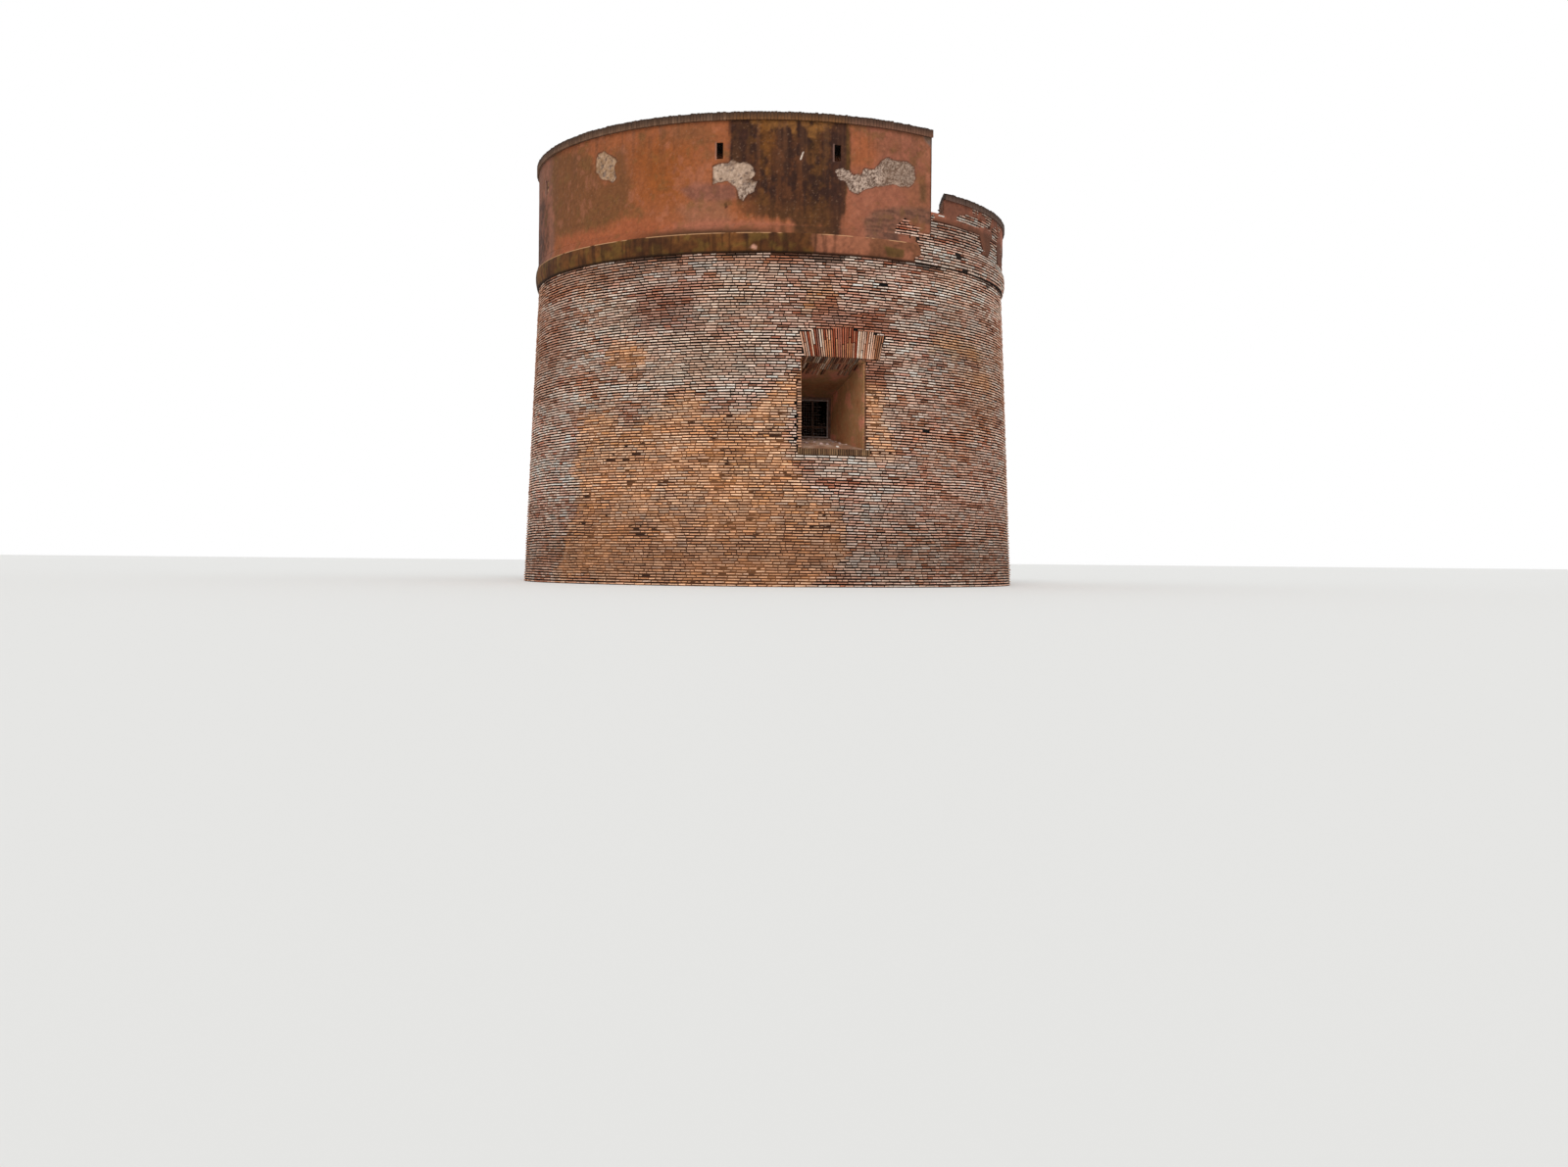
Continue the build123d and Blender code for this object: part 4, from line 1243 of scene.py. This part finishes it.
# Low wall: bricks all round, with remains of a red render
def crenelHole(azimuth, radius, width, sign=1):
    return slotHole(azimuth, width, tower["breastLevel"], 99.0, radius, sign)


rng = np.random.default_rng(29)
lowStart, lowEnd = tower["highEnd"], tower["highEnd"] + lowSpan
lowBricks = courses(parapetLow, merlonTop, lowStart, lowEnd, parapetRadius, rng)
for azimuth in crenels:
    lowBricks = cut(lowBricks, crenelHole(azimuth, parapetRadius, tower["crenelWidth"]))
brickwork("low_wall_bricks", lowBricks, parapetFace, parapetRadius, rng, "low_wall_brick", lift=0.016,
          shade=0.72)

remains = {
    "lift": 0.026, "step": 0.018, "foot": 6.76, "seam": 114.2,
    "tongues": [[(42.4, 6.85), (42.6, 6.69), (44.8, 6.49), (42.6, 6.24), (47.3, 6.31), (50.1, 6.6),
                 (49, 6.85)],
                [(54, 6.85), (56, 6.42), (61, 6.34), (64, 6.5), (66, 6.85)],
                [(120, 6.85), (123, 6.5), (131, 6.45), (134, 6.85)],
                [(176, 6.85), (180, 6.55), (186, 6.6), (187, 6.85)]],
    "holes": [[(32.8, 6.97), (36.6, 7.05), (40.9, 7.07), (48.9, 7.08), (50, 7.0), (45.4, 6.96), (40, 6.89),
               (33, 6.9)],
              [(50, 7.0), (54, 7.1), (57, 7.0), (55, 6.8), (51, 6.84)],
              [(92, 7.05), (100, 7.1), (108, 7.0), (104, 6.86), (95, 6.88)],
              [(150, 7.15), (158, 7.1), (160, 6.9), (152, 6.84)]],
}


def remainsSheet(name, start, end):
    # what is left of the render: a grid that goes behind the bricks outside its ragged outline
    half = tower["crenelWidth"] / 2 / parapetRadius
    sides = [np.radians(centre) + sign * half for centre in crenels for sign in (-1, 1)]
    a = gridLines(np.radians(start), np.radians(end), remains["step"] / parapetRadius, sides)
    z = gridLines(parapetLow, merlonTop - 0.001, remains["step"], [tower["breastLevel"]])
    azimuth, level = np.meshgrid(a, z, indexing="ij")
    p = parapetFace(azimuth, level, 0.0)
    coarse = fractal(p, 0.45, 4, 91) - 0.5
    warp = 0.10 * (fractal(p, 0.14, 4, 93) - 0.5)
    below = remains["foot"] - level + (0.03 + 0.12 * smooth(azimuth, 1.0, 1.6)) * coarse
    covered = np.minimum(below, nearest(azimuth, level, remains["tongues"]) + warp)
    holes = np.minimum(nearest(azimuth, level, remains["holes"]) + warp, 0.6 * (0.16 - coarse))
    gone = np.maximum(smooth(covered, -0.004, 0.008), smooth(holes, 0.008, -0.004))
    lift = sunk(remains["lift"] + 0.004 * (fractal(p, 0.2, 3, 95) - 0.5), gone)
    colour = layered(linear(160, 98, 76), ((118, 74, 58), smooth(fractal(p, 0.35, 4, 97), 0.36, 0.62)))
    # a painted shadow under the merlon cope at the top, darker towards the foot below 6.9 m, and a painted
    # shadow along the ragged edge
    colour = layered(grained(colour, p, 0.70, 0.6, 0.045, 3, 77),
                     ((86, 58, 48), smooth(level, merlonTop - 0.03, merlonTop) * 0.7),
                     ((84, 54, 38), smooth(level, 6.9, 6.8) * 0.7),
                     ((48, 28, 22), smooth(np.abs(covered), 0.03, 0.01) * 0.8))
    gaps = [crenelHole(centre, parapetRadius, tower["crenelWidth"]) for centre in crenels]
    keep = cellsWith(gone < nearlyGone) & outside(azimuth, level, gaps)
    sheetPiece(name, parapetFace(azimuth, level, lift), colour, keep, coatMaterial)


remainsSheet("render_remains_right", lowStart, remains["seam"])
remainsSheet("render_remains_back", remains["seam"], lowEnd)


# Cordon: render coat over the profile, and bricks where it is lost
def cordonLost(azimuth, p):
    # 1 where the coat is gone: beyond the high wall's end, but for patches that noise keeps
    degrees = np.degrees(azimuth) + 12 * (fractal(p, 0.2, 4, 101) - 0.5)
    first, last = cordon["lost"]
    gone = smooth(degrees, first, first + 0.5) * smooth(degrees, last, last - 0.5)
    kept = smooth(fractal(p * (1, 1, 1.6), 0.7, 4, 103), 0.59, 0.6) * (degrees > cordon["patchesFrom"])
    return gone * (1 - kept)


def cordonColour(azimuth, level, p):
    # olive on the left, reddish with a green stain on the right and brown round the back; then
    # streaks, the high wall's colours on the slope with painted shade, a broken painted highlight on the
    # arris and a painted shadow on the underside
    degrees = np.degrees(azimuth)
    arrisLevel = arrisPoint[1]
    mottle = fractal(p, 0.4, 5, 107)
    olive = layered(linear(108, 68, 36), ((78, 48, 28), smooth(mottle, 0.35, 0.65)),
                    ((108, 82, 40), smooth(fractal(p, 0.16, 4, 109), 0.44, 0.66) * 0.55))
    green = outlineDistance(azimuth, level, cordon["green"]) + 0.12 * (mottle - 0.5)
    reddish = layered(linear(150, 94, 70), ((116, 74, 52), smooth(mottle, 0.4, 0.6)),
                      ((86, 66, 34), smooth(green, 0.03, -0.03) * 0.85))
    brown = layered(linear(128, 90, 60), ((98, 72, 46), smooth(mottle, 0.38, 0.62)))
    colour = mixed(olive, reddish, smooth(degrees + 5 * (mottle - 0.5), -5.2, -4.2))
    chip = outlineDistance(azimuth, level, cordon["chip"])
    colour = layered(colour, ((178, 130, 110), smooth(chip, 0.012, -0.012)))
    colour = mixed(colour, brown, smooth(degrees, 30, 60))
    streaks = smooth(streaked(degrees, level, 0.7, 0.8, 1.0, 4, 111), 0.54, 0.66)
    colour = layered(colour, ((52, 32, 20), streaks * 0.6 * smooth(degrees, 8, -6)))
    colour = grained(colour, p, 0.55, 0.9, 0.05, 3, 117)
    # the slope faces up and catches more light, so its colours are darkened as painted shade
    slope = coatColour(azimuth, 0 * level + parapetLow + 0.06, p, 0 * level + 1.0, 0 * level) * 0.86
    dirty = smooth(degrees, -50, -34) * smooth(degrees, -6, -20)
    slope = layered(slope, ((66, 46, 28), dirty * smooth(level, parapetLow + 0.01, arrisLevel + 0.01) * 0.9))
    colour = mixed(colour, slope, smooth(level, arrisLevel + 0.004, arrisLevel + 0.014))
    # a painted highlight along the arris, broken by noise
    broken = smooth(fractal(p, 0.22, 4, 115) + 0.1 * smooth(degrees, -40, -60), 0.46, 0.54)
    arrisHighlight = smooth(np.abs(level - arrisLevel - 0.002), 0.010, 0.003) * broken
    return layered(colour, ((204, 154, 112), arrisHighlight * 0.75),
                   # painted shadow under the cordon's lip
                   ((40, 26, 18), smooth(level, cordonLow + 0.035, cordonLow + 0.008) * 0.85))


def cordonSheet(name, start, end):
    # the profile carried round: underside, arc and slope as one line of radius and height
    a = azimuths(start, end, cordon["step"], parapetRadius)
    z = np.concatenate([[cordonLow - 0.006, cordonLow - 0.008],
                        np.linspace(cordonLow + 0.004, arrisPoint[1] - 0.016, cordon["bandRows"]),
                        arrisPoint[1] + np.array([-0.006, 0.0, 0.006, 0.014]),
                        np.linspace(arrisPoint[1] + 0.026, parapetLow + 0.004, cordon["slopeRows"])])
    base = np.interp(z, profileZ, profileRadius)
    base[0] = neckRadius - 0.01
    azimuth, level = np.meshgrid(a, z, indexing="ij")
    p = around(azimuth, base + 0 * level, level)
    gone = cordonLost(azimuth, p)
    # the lift on the slope runs into the lift of the high wall's coat
    lift = cordon["coat"] + 0.007 * (fractal(p, 0.3, 4, 105) - 0.5)
    lift = lift + (coatLift(p) - lift) * smooth(level, arrisPoint[1] + 0.01, parapetLow)
    lift = np.where(level < cordonLow, 0.0, sunk(lift, gone))
    keep = cellsWith(gone < nearlyGone)
    keep[:, :2] = keep[:, 2:3]
    colour = cordonColour(wrapped(azimuth, 180.0), level, p)
    sheetPiece(name, around(azimuth, base + lift, level), colour, keep, coatMaterial)


cordonSheet("cordon_coat_front", cordon["seam"] - 180, cordon["seam"])
cordonSheet("cordon_coat_back", cordon["seam"], cordon["seam"] + 180)
rng = np.random.default_rng(37)
cordonBricks = courses(cordonLow, parapetLow, *cordon["bricks"], cordonRadius, rng)
cordonPlaces = middlePoints(cordonBricks, cordonFace)
cordonBricks = cordonBricks[cordonLost(middlesOf(cordonBricks)[0], cordonPlaces) > 0.5]
inGap = nearest(*middlesOf(cordonBricks), cordon["gaps"]) < 0
brickwork("cordon_bricks", cordonBricks[~inGap], cordonFace, cordonRadius, rng, "cordon_render", lift=0.012,
          shade=0.84)

# Copes: bricks on edge across the wall, in rows
cope = {"pitch": 0.06, "joint": 0.007, "camber": 0.022, "proud": 0.008, "row": 0.25, "rowGap": 0.004,
        "colours": linears((112, 84, 66), (106, 78, 60), (120, 92, 74)), "shares": (0.5, 0.3, 0.2)}


def cheekRadius(azimuth, centre):
    # radius at which a crenel's splayed cheek stands at an azimuth, 0 where it has none
    thickness = parapetRadius - parapetInner
    splay = np.arctan((tower["crenelInner"] - tower["crenelWidth"]) / 2 / thickness)
    offset = (tower["crenelWidth"] / 2 + np.tan(splay) * parapetRadius) * np.cos(splay)
    angle = np.abs(azimuth - np.radians(centre)) + splay
    return np.where(angle < np.pi / 2, offset / np.sin(angle), 0.0)


def copeTint(corners, colour, outer):
    # colour per point: the sides differ along the wall, and the tops are blackened, most of all
    # along the outer edge
    degrees = np.repeat(np.degrees(corners[:, :, 0].mean(1)), blockPoints)
    upper = np.tile(np.arange(blockPoints) >= 4, len(corners))
    outermost = np.repeat(corners[:, :, 1] > outer - 0.02, 3, 0).ravel()
    return layered(np.repeat(colour, blockPoints, 0),
                   ((118, 82, 66), ~upper * smooth(degrees, 0, 6) * smooth(degrees, 40, 28) * 0.75),
                   ((118, 78, 42), ~upper * smooth(degrees, -26, -20) * smooth(degrees, 5, 0) * 0.7),
                   ((92, 76, 72), ~upper * smooth(degrees, 26, 29) * smooth(degrees, 205, 200) * 0.6),
                   ((44, 35, 30), 0.45 * upper + 0.4 * (upper & outermost)))


def copeRows(name, start, end, top, height, inner, rng, beside=()):
    # each row is a strip of blocks given by azimuth and radius, whose top follows the camber;
    # the blocks end at the cheeks of the crenels beside it
    outer = parapetRadius + tower["copeOverhang"]
    middle, half = (outer + inner) / 2, (outer - inner) / 2

    def onTop(azimuth, radius, out):
        share = np.clip((radius - middle) / half, -1, 1)
        z = top - cope["camber"] * share ** 2 + out
        return around(azimuth, radius, z)

    rows = max(2, int(round((outer - inner) / cope["row"])))
    edges = np.linspace(inner - 0.006, outer + 0.014, rows + 1)
    corners = []
    for low, high in zip(edges[:-1] + cope["rowGap"], edges[1:] - cope["rowGap"]):
        count = int(np.radians(end - start) * parapetRadius / cope["pitch"])
        lines = np.radians(np.linspace(start, end, count + 1))
        lines[1:-1] += rng.uniform(-0.004, 0.004, count - 1) / parapetRadius
        gap = cope["joint"] / 2 / parapetRadius
        left, right = lines[:-1] + gap, lines[1:] - gap
        near = low + rng.uniform(-0.002, 0.002, count)
        far = high + rng.uniform(-0.004, 0.004, count) * (high > outer - 0.1)
        nearLeft, nearRight = near, near
        for centre in beside:
            nearLeft = np.maximum(nearLeft, cheekRadius(left, centre))
            nearRight = np.maximum(nearRight, cheekRadius(right, centre))
        kept = far - np.maximum(nearLeft, nearRight) > 0.03
        row = quads((left, far), (right, far), (right, nearRight), (left, nearLeft))
        corners.append(row[kept])
    corners = np.concatenate(corners)
    count = len(corners)
    colour = cope["colours"][rng.choice(len(cope["colours"]), count, p=cope["shares"])]
    colour = colour * rng.uniform(0.85, 1.12, (count, 1))
    lift = cope["proud"] + rng.uniform(-0.006, 0.007, count)
    points, faces = blocks(corners, lift, onTop, parapetRadius, rng, depth=height - 0.004, bevel=0.006)
    meshPiece(name, points, faces, copeTint(corners, colour, outer), False, brickMaterial)


rng = np.random.default_rng(41)
copeGap = np.degrees(tower["crenelWidth"] / 2 / parapetRadius)
copeRows("cope_bricks_high", highStart, tower["highEnd"], highCopeTop, highCopeTop - highTop,
         highInner - tower["copeOverhang"], rng)
for number in range(tower["merlonCount"]):
    copeRows("cope_bricks_merlon_%d" % (number + 1), crenels[number] + copeGap, crenels[number + 1] - copeGap,
             merlonCopeTop, merlonCopeTop - merlonTop, parapetInner - tower["copeOverhang"], rng,
             crenels[number:number + 2])

# Window: a thin casement in the frame, its bars, and what is left of a wire mesh
window = {"bar": 0.008, "transomShare": 0.28, "frame": 0.045, "casement": 0.014, "wire": 0.0018}


def bar(start, end, radius, sides=6):
    # a tube between two points: a circle of points about each end, and a point in each cap
    start, end = np.array(start, float), np.array(end, float)
    along = (end - start) / np.linalg.norm(end - start)
    side = np.cross(along, [0.31, 0.9, 0.2])
    side /= np.linalg.norm(side)
    other = np.cross(along, side)
    angle = np.arange(sides) * 2 * np.pi / sides
    circle = radius * (np.cos(angle)[:, None] * side + np.sin(angle)[:, None] * other)
    points = np.concatenate([start + circle, end + circle, [start, end]])
    k = np.arange(sides)
    n = (k + 1) % sides
    low, high = np.full(sides, 2 * sides), np.full(sides, 2 * sides + 1)
    faces = np.concatenate([np.stack([k, n, n + sides, k + sides], 1),
                            np.stack([n, k, low, low], 1), np.stack([k + sides, n + sides, high, high], 1)])
    return points, faces


def joined(parts):
    points, faces, count = [], [], 0
    for some, sides in parts:
        points.append(some)
        faces.append(sides + count)
        count += len(some)
    return np.concatenate(points), np.concatenate(faces)


for side, turn in embrasure["turns"].items():
    rng = np.random.default_rng(53)
    low, high = embrasure["sillInner"] + window["frame"], embrasure["headInner"] - window["frame"]
    y = -(embrasure["throatFar"] - 0.016)
    transom = low + (high - low) * window["transomShare"]
    half = embrasure["throat"] - window["frame"]
    c = window["casement"]
    rim = [((-half + c, y, low), (-half + c, y, high)), ((half - c, y, low), (half - c, y, high)),
           ((-half, y, low + c), (half, y, low + c)), ((-half, y, high - c), (half, y, high - c))]
    bars = [((0.02, y, low), (0.02, y, high)), ((-half, y, transom), (half, y, transom))]
    points, faces = joined([bar(*ends, c, 8) for ends in rim])
    meshPiece("casement_" + side, turnedPoints(points, turn), faces, None, False, wireCad)
    points, faces = joined([bar(*ends, window["bar"]) for ends in bars])
    meshPiece("window_bars_" + side, turnedPoints(points, turn), faces, None, False, ironCad)
    wires = []
    for x in np.arange(-half + 0.03, half, 0.05):
        top = high if x < 0.12 else low + rng.uniform(0.2, 0.55)
        end = (x + rng.uniform(-0.01, 0.01), y + 0.02, top)
        wires.append(bar((x, y + 0.02, low), end, window["wire"], 4))
    for z in np.arange(low + 0.03, high, 0.05):
        reach = half if z < low + 0.3 else rng.uniform(0.05, 0.2)
        end = (reach, y + 0.024, z + rng.uniform(-0.008, 0.008))
        wires.append(bar((-half, y + 0.024, z), end, window["wire"], 4))
    points, faces = joined(wires)
    meshPiece("window_mesh_" + side, turnedPoints(points, turn), faces, None, False, wireCad)

# Terrace paving, laid in straight rows and cut to the circle
rng = np.random.default_rng(43)
paving = {"length": 0.28, "width": 0.14, "joint": 0.008}


def flatFace(x, y, out):
    return np.stack([x, y, terraceLevel + out], -1)


rows = int(2 * parapetInner / paving["width"])
columns = int(2 * parapetInner / paving["length"]) + 1
gridRow, gridColumn = np.meshgrid(np.arange(rows), np.arange(columns), indexing="ij")
y0 = -parapetInner + gridRow * paving["width"]
x0 = -parapetInner + (gridColumn - 0.5 * (gridRow % 2)) * paving["length"]
gap = paving["joint"] / 2
tiles = np.stack([x0 + gap, x0 + paving["length"] - gap, y0 + gap, y0 + paving["width"] - gap], -1)
tiles = tiles.reshape(-1, 4)
reach = np.sqrt(np.abs(tiles[:, :2]).max(1) ** 2 + np.abs(tiles[:, 2:]).max(1) ** 2)
x, y = middlesOf(tiles)
turnOf = np.degrees(np.arctan2(x, -y))
underHigh = (turnOf > highStart) & (turnOf < tower["highEnd"])
tiles = tiles[reach < np.where(underHigh, highInner + 0.1, parapetInner)]
places = middlePoints(tiles, flatFace)
dusty = 0.35 + 0.4 * fractal(places, 0.9, 3, 121)
pavingColour = layered(brickColour(places, rng) * 0.7, ((120, 106, 90), dusty))
blockPiece("terrace_paving", cornersOf(tiles), rng.uniform(0.006, 0.012, len(tiles)), flatFace, 1.0, rng,
           pavingColour, "floor_brick", brickMaterial)

# Brick faces of both parapets towards the terrace
rng = np.random.default_rng(47)
insideHigh = courses(terraceLevel, highTop, -tower["highEnd"], -highStart, highInner, rng, 0.14, 0.26)
width, height = tower["loopholeInner"]
head = tower["loopholeHeight"] + tower["loopholeSize"][1] / 2
for azimuth in tower["loopholes"]:
    insideHigh = cut(insideHigh, slotHole(azimuth, width, head - height, head, highInner, -1))
brickwork("inside_bricks_high", insideHigh, highInside, highInner, rng, "low_wall_brick", lift=0.014)
insideLow = courses(terraceLevel, merlonTop, -lowEnd, -lowStart, parapetInner, rng, 0.14, 0.26)
for azimuth in crenels:
    insideLow = cut(insideLow, crenelHole(azimuth, parapetInner, tower["crenelInner"], -1))
brickwork("inside_bricks_low", insideLow, lowInside, parapetInner, rng, "low_wall_brick", lift=0.014)

# Camera, fitted to the photograph's outlines
view = {"focal": 1512.1, "frameWidth": 1600.0, "distance": 31.22, "height": 0.5, "azimuth": -13.7,
        "yaw": 0.0111, "pitch": -0.0166, "roll": 0.0099, "sensor": 36.0}


def makeCamera():
    # directions in the frame of a viewer who faces the tower's axis, then turned to the azimuth
    cy, sy = np.cos(view["yaw"]), np.sin(view["yaw"])
    cp, sp = np.cos(view["pitch"]), np.sin(view["pitch"])
    cr, sr = np.cos(view["roll"]), np.sin(view["roll"])
    ahead = np.array([sy * cp, cy * cp, sp])
    right = np.array([cy, -sy, 0.0])
    up = np.array([-sy * sp, -cy * sp, cp])
    rolled = np.array([cr * right + sr * up, -sr * right + cr * up, -ahead])
    axes = turnedPoints(rolled, view["azimuth"])
    place = turnedPoints(np.array([[0.0, -view["distance"], view["height"]]]), view["azimuth"])[0]
    data = bpy.data.cameras.new("camera")
    data.sensor_width = view["sensor"]
    data.sensor_fit = "HORIZONTAL"
    data.lens = view["focal"] / view["frameWidth"] * view["sensor"]
    data.clip_end = 500
    camera = bpy.data.objects.new("camera", data)
    bpy.context.scene.collection.objects.link(camera)
    matrix = Matrix([list(axes[:, n]) + [place[n]] for n in range(3)] + [[0, 0, 0, 1]])
    camera.matrix_world = matrix
    bpy.context.scene.camera = camera


makeCamera()

# Stage and light
stage = {"floorSize": 400.0, "floorColour": (226, 226, 224), "worldStrength": 0.62, "sunStrength": 1.7,
         "sunAngle": 35.0, "sunAzimuth": -15.0, "sunHeight": 48.0}
half = stage["floorSize"] / 2
floorMesh = bpy.data.meshes.new("floor")
floorMesh.from_pydata([(-half, -half, 0), (half, -half, 0), (half, half, 0), (-half, half, 0)],
                      [], [(0, 1, 2, 3)])
floor = bpy.data.objects.new("floor", floorMesh)
bpy.context.scene.collection.objects.link(floor)
floorMaterial, tree, shader = newMaterial("pale_floor", 0.95)
shader.inputs["Base Color"].default_value = rgba(*stage["floorColour"])
floorMesh.materials.append(floorMaterial)

world = bpy.data.worlds.new("world")
bpy.context.scene.world = world
world.use_nodes = True
worldTree = world.node_tree
background = worldTree.nodes["Background"]
rays = worldTree.nodes.new("ShaderNodeLightPath")
seen = math(worldTree, "MAXIMUM", rays.outputs["Is Camera Ray"], rays.outputs["Is Glossy Ray"])
seen = math(worldTree, "MAXIMUM", seen, rays.outputs["Is Transmission Ray"])
strength = mapRange(worldTree, seen, 0.0, 1.0, (stage["worldStrength"], 1.0))
worldTree.links.new(strength, background.inputs["Strength"])
background.inputs["Color"].default_value = (1.0, 1.0, 1.0, 1.0)

sunData = bpy.data.lights.new("sun", "SUN")
sunData.energy = stage["sunStrength"]
sunData.angle = np.radians(stage["sunAngle"])
sun = bpy.data.objects.new("sun", sunData)
bpy.context.scene.collection.objects.link(sun)
sunA, sunH = np.radians(stage["sunAzimuth"]), np.radians(stage["sunHeight"])
towards = Vector((np.sin(sunA) * np.cos(sunH), -np.cos(sunA) * np.cos(sunH), np.sin(sunH)))
sun.rotation_euler = towards.to_track_quat("Z", "Y").to_euler()

bpy.context.scene.view_settings.view_transform = "Standard"
print("camera, stage and lights set")
